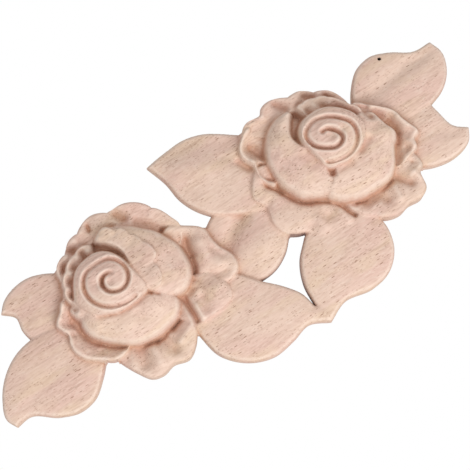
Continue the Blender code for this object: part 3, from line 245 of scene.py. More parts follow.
def pressed(places, strokes):
    """Height that soft strokes add. Each is a width, a rise, and the places it runs through.

    A stroke with a negative rise is a hollow. Where hollows cross, the deeper one is cut.
    """
    raised = np.zeros(len(places))
    sunk = np.zeros(len(places))
    for width, rise, *line in strokes:
        share = np.exp(-(line_distance(places, line) / width)**2)
        raised += max(rise, 0.0) * share
        sunk = np.minimum(sunk, rise * share)
    return raised + sunk


def leaf(outline, base, tip, base_rise=0.0, tip_rise=0.0, crown=1.5, valley=0.0, strokes=()):
    """A leaf: it rises from its edge by its crown, with a valley along its midrib.

    The rises are how far its edge stands above the usual height at its base and at its tip.
    """
    base = np.asarray(base, float)
    rib = np.asarray(tip, float) - base
    length = math.hypot(*rib)
    rib = rib / length
    base_height = LEAF_EDGE + base_rise
    tip_height = LEAF_EDGE + tip_rise

    def surface(places, edge_distance):
        offset = places - base
        along = np.clip(offset @ rib / length, 0.0, 1.0)
        across = offset[:, 0] * rib[1] - offset[:, 1] * rib[0]
        height = base_height + (tip_height - base_height) * along
        height = height + crown * (1.0 - np.exp(-np.maximum(edge_distance, 0.0) / CROWN_ROLL))
        share = np.clip(edge_distance / VALLEY_END, 0.0, 1.0)
        height = height - valley * np.exp(-(across / VALLEY_WIDTH)**2) * share
        return height + pressed(places, strokes)

    return Element(outline, surface, LEAF_ROUND, LEAF_FALL, None)


def about(rose, hand, places):
    """Angle in degrees and radius of each place, seen from a rose's middle."""
    dx = (places[:, 0] - rose[0]) * hand
    dz = places[:, 1] - rose[1]
    return np.degrees(np.arctan2(dz, dx)), np.hypot(dx, dz)


def around(hand, angles, radii):
    """Places at the given angles and radii from a rose's middle."""
    turn = np.radians(angles)
    return np.stack([radii * np.cos(turn) * hand, radii * np.sin(turn)], 1)


def fan_outline(rose, hand, angles, inner, outer):
    """The outline between an inner and an outer radius, over a range of angles."""
    rim = around(hand, angles, outer)
    root = around(hand, angles, inner)
    sides = [run([rim[-1], root[-1]])[1:-1], run([root[0], rim[0]])[1:-1]]
    return np.concatenate([rim, sides[0], root[::-1], sides[1]]) + np.asarray(rose)


def whole_station(station, root, rim):
    """A petal's station with the heights that it leaves out."""
    angle, inner, *rest = station
    if len(station) == 3:
        rest.insert(0, root)
    if len(station) < 5:
        rest.append(rim)
    return angle, inner, *rest


def petal(rose, hand, stations, root=None, rim=None, bulge=0.0, curl=1.0, lobes=(), lobe_reach=0.0,
          hollow=0.0, edge=THIN_ROUND, lip=0.0, strokes=(), covers=True):
    """A petal that fans out from a rose's middle.

    Each station is an angle, then the radius and height of the root and the radius and height of the rim.
    Where the rim's height is left out it is rim, and where the root's is too it is root.
    Bulge arches the petal between root and rim, and a curl over 1 keeps it low until near the rim.
    Lobes are the angles of the notches between the rim's scallops. Each scallop is scooped out by hollow.
    """
    table = np.array([whole_station(station, root, rim) for station in stations], float)
    table = table[np.argsort(table[:, 0])]
    first, last = table[0, 0], table[-1, 0]
    notches = np.sort(np.asarray(lobes, float)) if len(lobes) else None

    def scallop(angle):
        if notches is None:
            return np.zeros_like(angle)
        gap = np.clip(np.searchsorted(notches, angle) - 1, 0, len(notches) - 2)
        share = (angle - notches[gap]) / (notches[gap + 1] - notches[gap])
        return np.sin(np.pi * np.clip(share, 0.0, 1.0))

    def radii(angle):
        row = smooth_curve(table[:, 0], table[:, 1:], angle)
        return row[:, 0], row[:, 1], row[:, 2] + lobe_reach * scallop(angle)**SCALLOP_POWER, row[:, 3]

    def surface(places, edge_distance):
        angle, radius = about(rose, hand, places)
        middle = (first + last) / 2
        angle = angle + 360.0 * np.round((middle - angle) / 360.0)
        angle = np.clip(angle, first, last)
        root_radius, root_height, rim_radius, rim_height = radii(angle)
        share = np.clip((radius - root_radius) / np.maximum(rim_radius - root_radius, SHORTEST), 0.0, 1.0)
        height = root_height + (rim_height - root_height) * share**curl + bulge * 4 * share * (1 - share)
        height = height - hollow * scallop(angle)**2 * np.exp(-((share - SCOOP_PLACE) / SCOOP_WIDTH)**2)
        height = height + lip * np.exp(-((edge_distance - LIP_PLACE) / LIP_WIDTH)**2)
        return height + pressed(places, strokes)

    reach = table[:, 3].max()
    angles = np.linspace(first, last, max(3, int(math.radians(last - first) * reach / OUTLINE_STEP)))
    inner, _, outer, _ = radii(angles)
    return Element(fan_outline(rose, hand, angles, inner, outer), surface, edge, edge, covers)


def bud(rose, hand, collar, groove, middle, strokes=()):
    """The bud: a dome inside its collar, with a spiral cut that winds out from the middle.

    The collar's stations are an angle and a radius, the groove's an angle turned, a radius and a depth.
    """
    collar = np.asarray(collar, float)
    groove = np.asarray(groove, float)
    angles = np.arange(0.0, 360.0, COLLAR_STEP)
    ring = np.concatenate([collar[-1:] - [360.0, 0.0], collar, collar[:1] + [360.0, 0.0]])
    radii = smooth_curve(ring[:, 0], ring[:, 1], angles)
    outline = around(hand, angles, radii) + np.asarray(rose)
    steps = np.arange(groove[0, 0], groove[-1, 0], GROOVE_STEP)
    reach, depth = smooth_curve(groove[:, 0], groove[:, 1:], steps).T
    cut = around(hand, -steps, reach) + np.asarray(rose)

    def surface(places, edge_distance):
        _, radius = about(middle, hand, places)
        _, from_rose = about(rose, hand, places)
        dome = BUD_TOP - BUD_FALL * radius**2 + pressed(places, strokes)
        gap = np.hypot(places[:, None, 0] - cut[None, :, 0], places[:, None, 1] - cut[None, :, 1])
        nearest = gap.argmin(1)
        near = gap.min(1)
        beyond = np.where(from_rose > reach[nearest], near, -near)
        lip = GROOVE_LIP * np.exp(-((beyond - GROOVE_LIP_PLACE) / GROOVE_WIDTH)**2)
        return dome - depth[nearest] * np.exp(-(near / GROOVE_WIDTH)**4) + lip

    return Element(outline, surface, THIN_ROUND, THIN_ROUND, True)


def leaves():
    """The eight leaves, each lying over the ones before it where they cross."""
    top_middle = leaf(outline_of(
        [(-5, 38.1), (3, 38.3), (10, 36.2), (15, 33), (20.4, 28.8)],
        [(24, 14), (14, 0)],
        [(5, 4.3), (-3.6, 9.8), (-7.8, 15.4), (-10, 20.8), (-11, 28.5), (-13.6, 36.8)]),
        base=(16, 8), tip=(-13.6, 36.8), base_rise=1, crown=1.2, strokes=[
        (4.6, -0.9, (-4, 37), (6, 34.4), (13.6, 28.6)), (4.5, 0.8, (-6, 28), (4, 24.6)),
        (2.6, -0.7, (10.6, 25.6), (14, 21.6)), (1.5, -1.7, (14.4, 20.6), (16.6, 16.4))])
    middle = leaf(outline_of(
        [(-8.2, 7.1)],
        [(-3.6, 9.8), (8, 10), (20, 4)],
        [(19.5, -4), (17, -9.8)],
        [(10.5, -16.2), (5, -18.8), (-1.2, -19.4), (-10, -18), (-20, -12)],
        [(-20, 2)]),
        base=(-12, -2), tip=(16, -3), base_rise=-2.4, tip_rise=0.2, crown=1.4, strokes=[
        (6.5, 1.9, (5, -8.5)), (3.2, -1.9, (4.6, 3.8), (-1.4, 0.8), (-5, -3.4))])
    right_upper = leaf(outline_of(
        [(63.2, 21), (69, 26.3), (75.5, 27.6), (82, 25.3), (90, 20.7), (96.8, 20.5)],
        [(98.4, 15), (96.5, 8.8), (91.5, 3.6), (84, 0.7)],
        [(76, 0.5), (66, 2)],
        [(60.3, 16.7)]),
        base=(62, 14.5), tip=(97, 19), base_rise=0.4, crown=1.6, valley=1.3)
    right_lower = leaf(outline_of(
        [(84, 3)],
        [(85, -3), (86.6, -9.5), (91, -13.2)],
        [(88.4, -17.2), (80.5, -19.7), (73, -18.6), (66, -15.5)],
        [(66, 6)]),
        base=(68, -4), tip=(91, -13.2), base_rise=-0.6, tip_rise=-0.4, crown=1.3, valley=0.5)
    left_upper = leaf(outline_of(
        [(-81.5, 23.5), (-76, 25.9), (-70, 26.3), (-64.5, 24.6), (-58, 20.6)],
        [(-62, 6), (-69, 3), (-80, 5)],
        [(-81.2, 11), (-80.8, 16.8), (-84.4, 20.4)]),
        base=(-62, 15), tip=(-84.4, 20.4), tip_rise=-0.4, crown=1.2)
    left_lower = leaf(outline_of(
        [(-101.9, -12.5), (-99.6, -5.4), (-95, 0.5), (-88, 5.2), (-80, 7.1), (-66, 5)],
        [(-62, -13.5)],
        [(-66.5, -18.2), (-72.5, -22.7), (-79, -23.7), (-86, -21.3), (-95, -15.5), (-100.2, -16.2)]),
        base=(-66, -6), tip=(-101, -13), base_rise=0.6, valley=0.3)
    bottom_left = leaf(outline_of(
        [(4, -41.4), (-3.5, -43.2), (-12, -44.2), (-20.5, -41.2), (-28, -33.5), (-30.5, -22)],
        [(-34, -12), (-20, -5), (-8, -12), (-1.2, -19.8)],
        [(4, -25.2), (8, -31), (9.4, -36.8)],
        [(12.8, -39.6), (13, -42.4), (11.2, -44.8)]),
        base=(-18, -20), tip=(11.2, -44.8), base_rise=0.8)
    bottom_right = leaf(outline_of(
        [(9.4, -36.8)],
        [(10.2, -28.5), (13.6, -20.8), (19.4, -14.8)],
        [(30, -8), (44, -18)],
        [(46.2, -27), (43.8, -35.6), (37.5, -41.4), (30, -42.9), (19, -41.4), (11.2, -44.8)]),
        base=(32, -18), tip=(11.2, -44.8), base_rise=0.8)
    return [top_middle, middle, right_lower, right_upper, left_upper, left_lower, bottom_left, bottom_right]


def ground(rose, hand, radii, strokes):
    """The ground under a rose, falling away from its middle, with its radius at equal steps of angle."""
    angles = np.linspace(-180.0, 180.0, len(radii) + 1)
    around_once = zip(angles, radii + radii[:1])
    stations = [(angle, GROUND_START, CORE, radius, FLOOR) for angle, radius in around_once]
    return petal(rose, hand, stations, curl=GROUND_CURL, strokes=strokes, covers=False)


def right_rose():
    """The right rose. Its spiral winds out clockwise."""
    place, hand = RIGHT_ROSE, 1
    top_ring = petal(place, hand, [
        (24, 12.5, 7.5, 13), (42, 12.6, 8.4, 14.6), (61, 13.4, 8.8, 16.8), (77.5, 14, 9, 17.9),
        (90, 14.6, 9.2, 19.8), (103, 15.2, 9.3, 21.3), (115, 17.5, 9.3, 25), (125, 19.6, 9, 26.6),
        (129.5, 20.5, 8.2, 26.4), (136, 21.6, 7.4, 29.6, 9.2), (146, 22.6, 6.4, 31.6, 8.8)],
        rim=OUTER_RIM, lobes=(26, 77.5, 103, 129.5, 146), lobe_reach=0.8, hollow=0.2, lip=0.3, strokes=[
        (1.9, 1.2, (29.8, 28.2)), (1.4, -1.9, (36.4, 30.4), (38.8, 27)), (2, 0.9, (42.8, 28.4)),
        (2, 0.8, (33.6, 30.2)), (1.5, -2.4, (47, 27.4), (48.8, 25.4)), (1.3, 0.9, (51.2, 24.8)),
        (1, -1.8, (53.2, 23.4), (54.2, 21.4)), (1, -0.8, (41, 25.4), (45, 25.8))])
    left_ring = petal(place, hand, [
        (126, 20.3, 5, 26, 8.6), (146, 22.6, 5.2, 31), (158, 23.2, 5.6, 31.8), (166, 23.6, 5.8, 28.8),
        (177, 23.8, 5.2, 28.2, 9.2), (186, 23.8, 4.6, 26, 9)],
        rim=OUTER_RIM, lobes=(140, 166, 186), lobe_reach=0.6, hollow=0.4, lip=0.3, strokes=[
        (1.5, -3, (26.2, 28.4), (26, 25)), (1.6, 0.9, (22.8, 27.4)), (1.9, 1, (29, 27)),
        (2, -3.4, (20.8, 22.2), (23.4, 17.6)), (0.9, 0.9, (18.6, 17.3), (17.3, 14)),
        (1.5, -3.2, (20.3, 14.4), (21, 12), (20.8, 9.6)), (0.8, 0.7, (17, 11), (19, 8.8), (20.6, 7.4))])
    notch = (0.9, -3, (35.6, -9.4), (36.9, -12.4), (37.8, -16), (39.2, -18.8))
    lower_left = petal(place, hand, [
        (168, 23, 5.4, 28.6, 8), (176, 23.4, 5.6, 32.2, 8.4), (185, 23.4, 5.8, 35, 8),
        (194.5, 23.2, 5.8, 33.6, 7.8), (202, 22.8, 5.8, 36.4, 7.6), (209, 22.4, 5.8, 37.6, 7.4),
        (217, 21.3, 5.6, 36, 7), (224, 20.4, 5.4, 33.8, 6.8), (231.5, 19.4, 5.4, 35, 6.8),
        (238, 19.6, 5.4, 34.6, 6.6), (245, 21, 5.2, 32.8, 6.6), (252, 22, 4.8, 30.4, 6.6),
        (258, 22, 3.8, 29.2, 6.4)],
        bulge=1.2, edge=SOFT_ROUND, strokes=[
        notch, (1.6, -4.4, (19.2, 7.6), (21, 5.6), (22.2, 2.8)),
        (1.5, -3.2, (22.4, 2.2), (23.8, -0.8), (25.6, -3.4), (28.4, -5.4)),
        (1.4, -2.4, (28.4, -5.4), (32.4, -7.2), (35.6, -9.4)), (2.2, -1.2, (31, -13)),
        (1.6, 0.6, (27, -12), (27.4, -16)), (1.3, 0.6, (34.8, -14), (35.6, -18.5)),
        (3, 0.6, (15.5, -5), (18, -9.5)), (2, -0.8, (23.5, -13)), (1.4, -0.7, (14.3, 1.2), (16.5, 2.6))])
    lower_right = petal(place, hand, [
        (250, 21, 3.8, 27.6, 6.4), (258, 21.8, 4.4, 29.4, 6.8), (265, 22.2, 4.6, 31.4, 7.2),
        (271, 22.7, 5.4, 33.8, 7.6), (280, 23.2, 35.8), (286.5, 23.3, 35.8), (295, 23.9, 38),
        (301, 23.4, 37.2), (305.5, 23, 5.4, 34), (313, 22, 4.4, 33, 7.6), (318, 21.6, 4, 30, 7),
        (324, 21.4, 3.4, 27, 5.6)],
        root=5.8, rim=7.8, bulge=1.3, edge=THICK_ROUND, strokes=[
        notch, (1.6, -3, (39.4, -12.2), (44.8, -15.2)),
        (1.4, -2, (44.8, -15.2), (50.5, -16), (56.4, -14.4)),
        (2, -2, (44.6, -16.2), (50.4, -16.8), (51.2, -19.4)), (1.6, 1.3, (55.6, -17.5), (55.2, -21.5)),
        (1.5, -2.4, (58.8, -15), (61.5, -19.2)), (1.3, 0.9, (63.6, -15.6), (65, -19)),
        (0.8, -1.4, (65.8, -13)), (0.9, 0.7, (62.5, -12.6), (66.4, -12.2)),
        (1, 0.8, (62.6, -17), (67, -16)), (2, -0.5, (46.5, -21))])
    right_ring = petal(place, hand, [
        (-56, 22.6, 4.2, 25.4, 8.4), (-51.7, 22.4, 4.4, 26.8, 8.8), (-44, 21.8, 4.6, 28.6, 9),
        (-38, 21.6, 4.6, 30, 9), (-31.6, 21.9, 4.6, 29.2, 9.2), (-27.5, 21.7, 30.6), (-22, 20.4, 28.2),
        (-17, 18.6, 26.2), (-9, 17.3, 4.8, 24.6), (2, 15.5, 6, 20.4, 9.8), (12, 13, 6.5, 17.4, 10.4),
        (18, 12.8, 7, 16.4, 11), (25, 11, 8, 14.6, 11.4)],
        root=4.6, rim=OUTER_RIM, bulge=0.7, lip=0.35, strokes=[
        (1.6, -3, (67.6, 3.4), (67.9, 1), (67.4, -1.2)), (1.3, -2, (66.8, -2.6), (64, -6.6)),
        (1.3, -3, (63.4, -7.6), (61.7, -10.4)), (1.1, -1, (65.2, 9), (66.8, 5)), (1.6, -1, (67, -8)),
        (1, 0.8, (68.6, -6.2), (69.6, -9)), (1.2, 0.7, (70.2, 3), (70.9, -1.4)),
        (0.9, -2.8, (61.2, 13.9), (63, 12))])
    frill = petal(place, hand, [
        (2, 10, 9.8, 13, 12), (12, 10, 8.2, 13.8), (22, 10, 7.4, 13.6), (35, 10, 7.4, 13),
        (48, 10, 8.4, 13.4), (62, 10, 10.4, 14.3), (80, 10, 11.6, 15), (98, 10, 11.6, 15.7),
        (107, 10, 11, 16, 12)],
        rim=FRILL_RIM, curl=1.2, lobes=(2, 27, 62, 80, 98, 107), lobe_reach=0.4, strokes=[
        (0.8, -1.3, (44.8, 19.6), (44.3, 21.8)), (1, -1.2, (50.6, 18.8), (49.6, 20.8)),
        (1.1, 1, (42.4, 21.2), (42.5, 22.6)), (1.2, 1.2, (47.2, 20.6), (47, 22.2)), (1, 0.7, (52.4, 19.6))])
    pit = (1.2, -3.6, (39.9, -0.4), (39.2, -2.2))
    join = (0.45, -1.3, (39.2, -1.8), (37.4, -4.6))
    lower = petal(place, hand, [
        (-129, 12, 13.6, 20, 10.2), (-124, 11.4, 14.2, 21), (-117, 10, BIG_TOP - 0.4, 21.8),
        (-103, 9, 22.6), (-82, 9, 23.5), (-65, 9, 24.6), (-55, 9, 23.7), (-47, 9, 22.6), (-39, 9, 22),
        (-32, 9, 22.5), (-26, 9, 14.8, 22.2, 11.4), (-18, 9, 14.4, 19.4, 11.8), (-10, 9, 13.6, 17.9, 12.2),
        (-2, 9, 12, 17, 12.6), (8, 9, 11, 14.6, 12.8)],
        root=BIG_TOP, rim=BIG_RIM, bulge=1.3, edge=THICK_ROUND, strokes=[
        pit, join, (1.5, -1.3, (52, -0.8), (56.5, 1)), (1.6, -1, (42, -2.4), (46, -2.8)),
        (3.5, 0.7, (50, -8.5)), (2.6, 0.8, (62.4, -1)), (1.3, -3.2, (61.2, 10.2), (62, 7.6)),
        (2, -0.8, (60, 3.4)), (2, -0.6, (56.5, -9)), (0.8, 0.6, (63.4, 8.6), (64.2, 5.4), (64.5, 3.4))])
    side = petal(place, hand, [
        (117, 16.6, 12.2, 18.2, 12), (124, 16, 12.8, 19.8, 11.8), (131, 15.5, 13.2, 21.1, 11.4),
        (140, 15.1, 13.6, 22.3), (151, 14, 14.2, 23), (160, 12.4, 14.6, 23.4), (169, 10.6, 23.9),
        (179, 9.2, 23.9), (190, 8.8, 23.9), (202, 8.6, 23.3), (211, 9.2, 22.8), (219, 9.6, 14.8, 21.5),
        (229, 10.4, 14.4, 20.4), (236, 11.4, 14.2, 20), (240, 11.8, 13.6, 19, 10.2)],
        root=BIG_TOP, rim=BIG_RIM, bulge=1.1, edge=THICK_ROUND, strokes=[
        pit, join, (3.5, 0.7, (30.5, 17.5)), (2.6, -0.6, (27, 9.5)), (3, 0.5, (31, 2)),
        (2, -0.9, (34.5, 8), (35.5, 4)), (2, 0.6, (33.8, 22.4)), (1.6, -0.5, (26, 14.5))])
    collar = (
        (14, 10.5), (32, 9.8), (53, 9.6), (74, 9.9), (100, 10.3), (132, 11.2), (160, 10.6), (182, 9.6),
        (205, 9.8), (230, 11.3), (247, 10.6), (268, 10.4), (293, 10.4), (318, 10.9), (338, 11.8))
    groove = (
        (-146, 3.8, 0.8), (-128, 3, 1.8), (-100, 1.8, 2.8), (-34, 1.1, 3.2), (29, 2.05, 3.2),
        (65, 3.85, 2.6), (104, 5.05, 2.2), (151, 6.2, 2.5), (185, 8.4, 2.6), (208, 9.45, 2.2),
        (234, 8.4, 1.4), (275, 6.2, 1.7), (330, 5.9, 2.5), (367, 7.65, 2.6), (392, 8.4, 2.1), (423, 9, 1.5),
        (467, 9.65, 1.4), (496, 10.5, 1.8))
    centre = bud(place, hand, collar, groove, middle=(place[0] - 0.8, place[1] - 1), strokes=[
        (1.8, -1.1, (45.6, 8.6)), (1.4, -1, (49.6, 8.4)), (1, 0.3, (46.5, 5.9)), (0.9, -1, (43.4, 11.2))])
    floor = ground(place, hand, (27, 26, 22, 13, 13, 22), [(2.6, 3, (36, 17), (39, 21.5))])
    return [floor, top_ring, left_ring, lower_left, lower_right, right_ring, frill, lower, side, centre]


def left_rose():
    """The left rose, nearly the right one's mirror image. Its spiral winds out the other way."""
    place, hand = LEFT_ROSE, -1
    top_ring = petal(place, hand, [
        (38, 14.6, 7.5, 17.2, 9.4), (46, 14.8, 8.4, 18.2), (67, 15, 9, 19.2), (90, 15.2, 9.2, 21.6),
        (107, 17.5, 9.3, 24.6), (119.5, 19.6, 9.2, 25.7), (135, 21.2, 8.6, 29), (152, 22.6, 7.4, 31, 9.2),
        (164, 24.2, 6.6, 31, 8.8), (170, 25, 6.2, 31.4, 8.6), (175, 25.6, 5.8, 30.6, 8.4),
        (180, 26.2, 5.4, 28.6, 8)],
        rim=OUTER_RIM, lobes=(42, 67, 90, 119.5, 150, 180), lobe_reach=1.2, hollow=0.2, lip=0.3, strokes=[
        (1.5, -3, (-52.8, 26), (-51.2, 24.8)), (1.6, 1.2, (-49.2, 27)),
        (0.7, -2.2, (-42.5, 29.6), (-42.9, 27.6)), (1.2, -0.8, (-46.8, 24.7), (-44, 24.6)),
        (2.2, 1, (-38.8, 28.2)), (1.8, -3, (-32, 28), (-30.4, 25.2)), (1.1, -1.2, (-36.4, 25), (-35, 24.6)),
        (1.2, -2, (-57, 21.6), (-57.8, 20.4)), (1.4, 0.8, (-45.6, 28.4)), (1.3, 0.8, (-54.6, 23.6)),
        (1.3, -1.6, (-27.4, 21.8), (-23.8, 18.4), (-21.8, 15.4)),
        (1.3, -3.4, (-21.4, 14.6), (-19.6, 11.4), (-18.4, 8.6)), (1.6, 0.6, (-22, 20))])
    upper_right = petal(place, hand, [
        (166, 24.6, 5, 29.6, 8), (172, 25.6, 5.4, 33, 8.2), (180, 26.6, 5.8, 38.2, 7.8),
        (186, 27.2, 6, 38.8, 7.6), (192, 27.6, 6, 40.4, 7.4), (198.5, 28, 6, 44.2, 7.2),
        (203, 27.8, 6, 45, 7.6), (208.5, 27.2, 5.6, 43, 7.6), (214, 26, 4.8, 38, 6.6)],
        bulge=1.6, edge=SOFT_ROUND, strokes=[
        (1.9, -4.6, (-16.5, 7), (-17.4, 4.6), (-17.8, 1.6)),
        (1.4, -3.8, (-17.9, 1.2), (-18.9, -2.6), (-20.5, -5.4)),
        (2.4, 1.3, (-12.5, 3), (-13.5, -3), (-11, -6.4)), (1.8, -1.3, (-19, -7.6), (-10.5, -9.8)),
        (1.2, -0.7, (-9.8, -1), (-8, -5))])
    cleft = (1.1, -3.8, (-27.6, -8.8), (-27.8, -13.6), (-27.8, -17), (-28.2, -20))
    right_lobe = petal(place, hand, [
        (204, 27.4, 4.4, 36, 6.8), (212, 26, 4.8, 41.2, 8), (217, 24, 5, 42.6, 8.4),
        (223, 23.4, 5.4, 40.8, 8.4), (230, 24.4, 5.4, 36.8, 8.2), (238, 24.4, 5, 32.8, 7.8)],
        bulge=1.6, edge=SOFT_ROUND, strokes=[
        cleft, (1.3, -1, (-21.5, -7.6), (-24.5, -9.6), (-27.6, -10.2)),
        (2, -1.5, (-22.5, -13.6), (-23.2, -17.5)), (2.6, 1.2, (-15.4, -13.2)),
        (1.8, 0.7, (-18.5, -12.5), (-16.8, -17.5)), (1.3, 0.8, (-25.6, -15), (-25.8, -20))])
    lower_left = petal(place, hand, [
        (228, 24.2, 4.2, 29, 6.8), (233, 24.8, 4.8, 31.6, 7.2), (241, 24.4, 5.4, 34.2, 7.6),
        (248, 24, 5.6, 36.2), (255, 23.5, 37.2), (263.5, 22.9, 35), (272, 22.2, 35.8),
        (279, 21.5, 5.4, 34.8), (284.5, 20.9, 5, 31.8, 7.6), (290, 20.2, 4.4, 29, 7),
        (297, 19.6, 3.4, 25.8, 5.6)],
        root=5.8, rim=7.8, bulge=1.4, edge=THICK_ROUND, strokes=[
        cleft, (1.6, -3.6, (-31, -14.2), (-36.6, -16.2)), (1.2, -2, (-36.6, -16.2), (-40.4, -17)),
        (1.5, -3.4, (-40.6, -17.2), (-43.6, -17.6)), (1.2, -2, (-44, -17.6), (-49, -16.4)),
        (2.2, -2, (-50, -17.4), (-51.2, -22)), (2, 1.3, (-46, -19.5), (-46.4, -24.6)),
        (2, -2, (-41, -18), (-39.8, -23.4)), (1.5, 1, (-37, -22.4), (-31.6, -20)),
        (1.6, -0.6, (-56, -17.6)), (0.7, 0.7, (-29.7, -14.6), (-30, -19.4))])
    left_ring = petal(place, hand, [
        (-76, 20.6, 4.2, 21.6, 8.6), (-69, 20, 4.6, 24.4, 9), (-62, 19.4, 4.8, 25.8, 9.2),
        (-50, 18.5, 25.8), (-38, 18, 26.4), (-29, 17, 25.6), (-24, 16.4, 24.4), (-18, 15.3, 22.2),
        (-11, 15.4, 5, 22.5), (-4, 15.4, 5.5, 22.8), (5, 14.6, 6.2, 19.4, 9.8), (12, 13.6, 6.8, 18, 10.6),
        (24, 12.6, 8, 15.6, 11.2)],
        root=4.8, rim=OUTER_RIM, bulge=0.7, lip=0.35, strokes=[
        (1.5, -2, (-65, 3.6), (-64, 0.6), (-63.4, -2.6), (-60.6, -7.2)),
        (1.3, -2, (-60.6, -7.2), (-57, -10.4), (-53.6, -13)), (1.3, -1.3, (-66.4, -0.2)),
        (1.8, 0.5, (-66.5, -6.5)), (1.6, -0.8, (-61.5, -10.6)), (1.1, -2.6, (-63.4, 12.4), (-62.4, 10.6)),
        (1, 0.6, (-67.4, 6.6))])
    frill = petal(place, hand, [
        (3, 11, 10, 13.6, 12), (15, 11, 9.2, 14.8), (31, 11, 9.2, 15.4), (50, 11, 10.4, 15.6),
        (74, 11, 10.8, 15.9), (88, 11, 10.6, 15.9), (96, 11.5, 10.2, 15.4, 12)],
        rim=FRILL_RIM, curl=1.2, lobes=(3, 27, 50, 74, 96), lobe_reach=0.6, strokes=[
        (1.2, 1.4, (-46.9, 20.8)), (1.1, 1.2, (-51.6, 21)), (1, 1.2, (-56.2, 17.6)),
        (0.9, 1, (-59.6, 13.6)), (1, -2.2, (-49.3, 22), (-49, 19.8)), (1.1, -1.8, (-54.2, 19)),
        (1.1, -1.8, (-57.8, 15.6)), (0.9, -1.8, (-60, 11.2))])
    wedge = (0.75, -2.6, (-37.6, -1.9), (-36.4, -3.2))
    join = (0.45, -1.5, (-36.4, -3.2), (-34.4, -5.1))
    lower = petal(place, hand, [
        (-142, 11.4, 13.6, 20.8, 10.2), (-137, 11, 14.2, 23.4, 10.6), (-131, 10, BIG_TOP - 0.4, 24.8),
        (-124, 9, 25.2), (-115, 9, 24.5), (-100, 9, 23.4), (-83, 9, 22), (-66, 9, 20),
        (-50, 9, BIG_TOP, 18.9, 11.2), (-36, 9, 14.8, 18.2, 11.6), (-25, 9, 14.2, 16.8, 12),
        (-19, 9, 13.8, 15.7, 12.2), (-10, 9, 13, 15.8, 12.4), (0, 9, 12, 15.9, 12.6),
        (9, 9, 11, 14.4, 12.6)],
        root=BIG_TOP, rim=BIG_RIM, bulge=1.3, edge=SOFT_ROUND, strokes=[
        wedge, join, (1, -1, (-55.6, -0.9), (-50.6, -2.6)),
        (1.1, -1, (-50.6, -2.6), (-45, -3.8), (-39, -2.8)), (3.5, 0.7, (-50, -9)), (3, 0.7, (-37.5, -8)),
        (1.4, -0.7, (-44.5, -6.5), (-43.5, -9)), (1.1, -2.8, (-62, 8), (-61.6, 6.2)),
        (1.8, -0.7, (-60.3, 2.4)), (1.6, 0.5, (-58.5, -3.5))])
    side = petal(place, hand, [
        (104, 15.6, 12.2, 16.8, 12), (108, 15, 12.8, 18.4, 11.8), (115, 14.6, 13.2, 19.4, 11.6),
        (127, 13.6, 13.6, 20.9), (140, 12.7, 14, 21.9), (151, 11.4, 14.6, 22.8), (160, 10, 14.8, 24.2),
        (170, 9.4, 25.4), (180, 9.2, 27), (190, 9.2, 27.7), (199, 9.6, 28.1), (207, 10, 14.8, 27.6),
        (214, 10.4, 14.6, 26.2), (222, 11, 14.4, 22.6), (227, 11.4, 13.6, 20, 10.2)],
        root=BIG_TOP, rim=BIG_RIM, bulge=1.1, edge=THICK_ROUND, strokes=[
        wedge, join, (2, 0.6, (-39.4, 22.4)), (2.6, 0.5, (-30, 17.5)), (3, 0.5, (-25, -2)),
        (2.4, 0.5, (-24, 8)), (1, -1, (-37.4, 5.4), (-37.6, 1.6))])
    ruffle = petal(place, hand, [
        (109, 15, 13.2, 18, 13.2), (116, 14.6, 14, 19.2, 13.6), (124, 13.9, 14.6, 18.8, 14.2),
        (136, 13, 15, 19.2, 14.1), (147, 11.9, 15.3, 18.4, 14.6), (161, 10.4, 15.7, 18.5, 15.2),
        (174, 9.7, 15.9, 18.8, 15.7), (181, 9.6, 15.9, 18.6, 15.7), (187, 9.6, 15.9, 17.1, 15.8),
        (197, 9.8, 15.9, 17.5, 16), (206, 10.3, 15.8, 17.7, 15.8), (216, 10.8, 15.3, 17, 15.1),
        (222, 11.4, 14.6, 15.2, 14.2)],
        lobes=(109, 127, 144, 160, 187, 222), lobe_reach=0.7, strokes=[
        (1, -0.5, (-36.6, 20.6), (-35.4, 21.8)), (1.1, -0.4, (-34, 14.6), (-31.6, 16)),
        (1.2, -0.5, (-32.6, 4.6), (-30, 4.8)), (1.8, 0.3, (-31.6, 8.4)), (1.8, 0.3, (-33.2, 0.4)),
        (1, -1, (-37.4, 5.4), (-37.6, 1.6))])
    collar = (
        (4, 12.8), (20, 12), (37, 11.9), (58, 12.1), (75, 11.7), (104, 11.4), (118, 10.8), (132, 10),
        (154, 9.2), (178, 9), (200, 10.6), (219, 13.2), (230, 12.2), (248, 10.7), (270, 10.1), (288, 10.2),
        (306, 10.4), (322, 11.4), (340, 12))
    groove = (
        (-143, 3.5, 0.7), (-110, 2.95, 2), (-66, 2.5, 3.2), (-24, 2.2, 3.3), (20, 2.35, 3.2), (57, 3, 2.8),
        (90, 3.9, 2.4), (133, 5.85, 2.2), (171, 7.3, 2.5), (201, 7.95, 2.4), (232, 8.2, 2), (266, 7.6, 1.3),
        (285, 7.75, 1.2), (303, 8.4, 1.6), (335, 8.65, 2.5), (364, 8.5, 2.6), (395, 8.25, 2.1),
        (429, 8.45, 1.6), (460, 9.3, 1.4), (485, 10.6, 1.2))
    centre = bud(place, hand, collar, groove, middle=(place[0] + 0.8, place[1] - 1), strokes=[
        (1.6, -1.1, (-50.2, 8.6)), (1.6, -0.8, (-46.6, 6.8)), (1, -1.6, (-48.6, 9.4), (-49.6, 7.6))])
    floor = ground(place, hand, (29, 27, 22, 14, 15, 24), [(2.6, 3, (-38.5, 14), (-43, 20.5))])
    petals = [upper_right, right_lobe, lower_left, top_ring, left_ring, frill, lower, side, ruffle]
    return [floor] + petals + [centre]


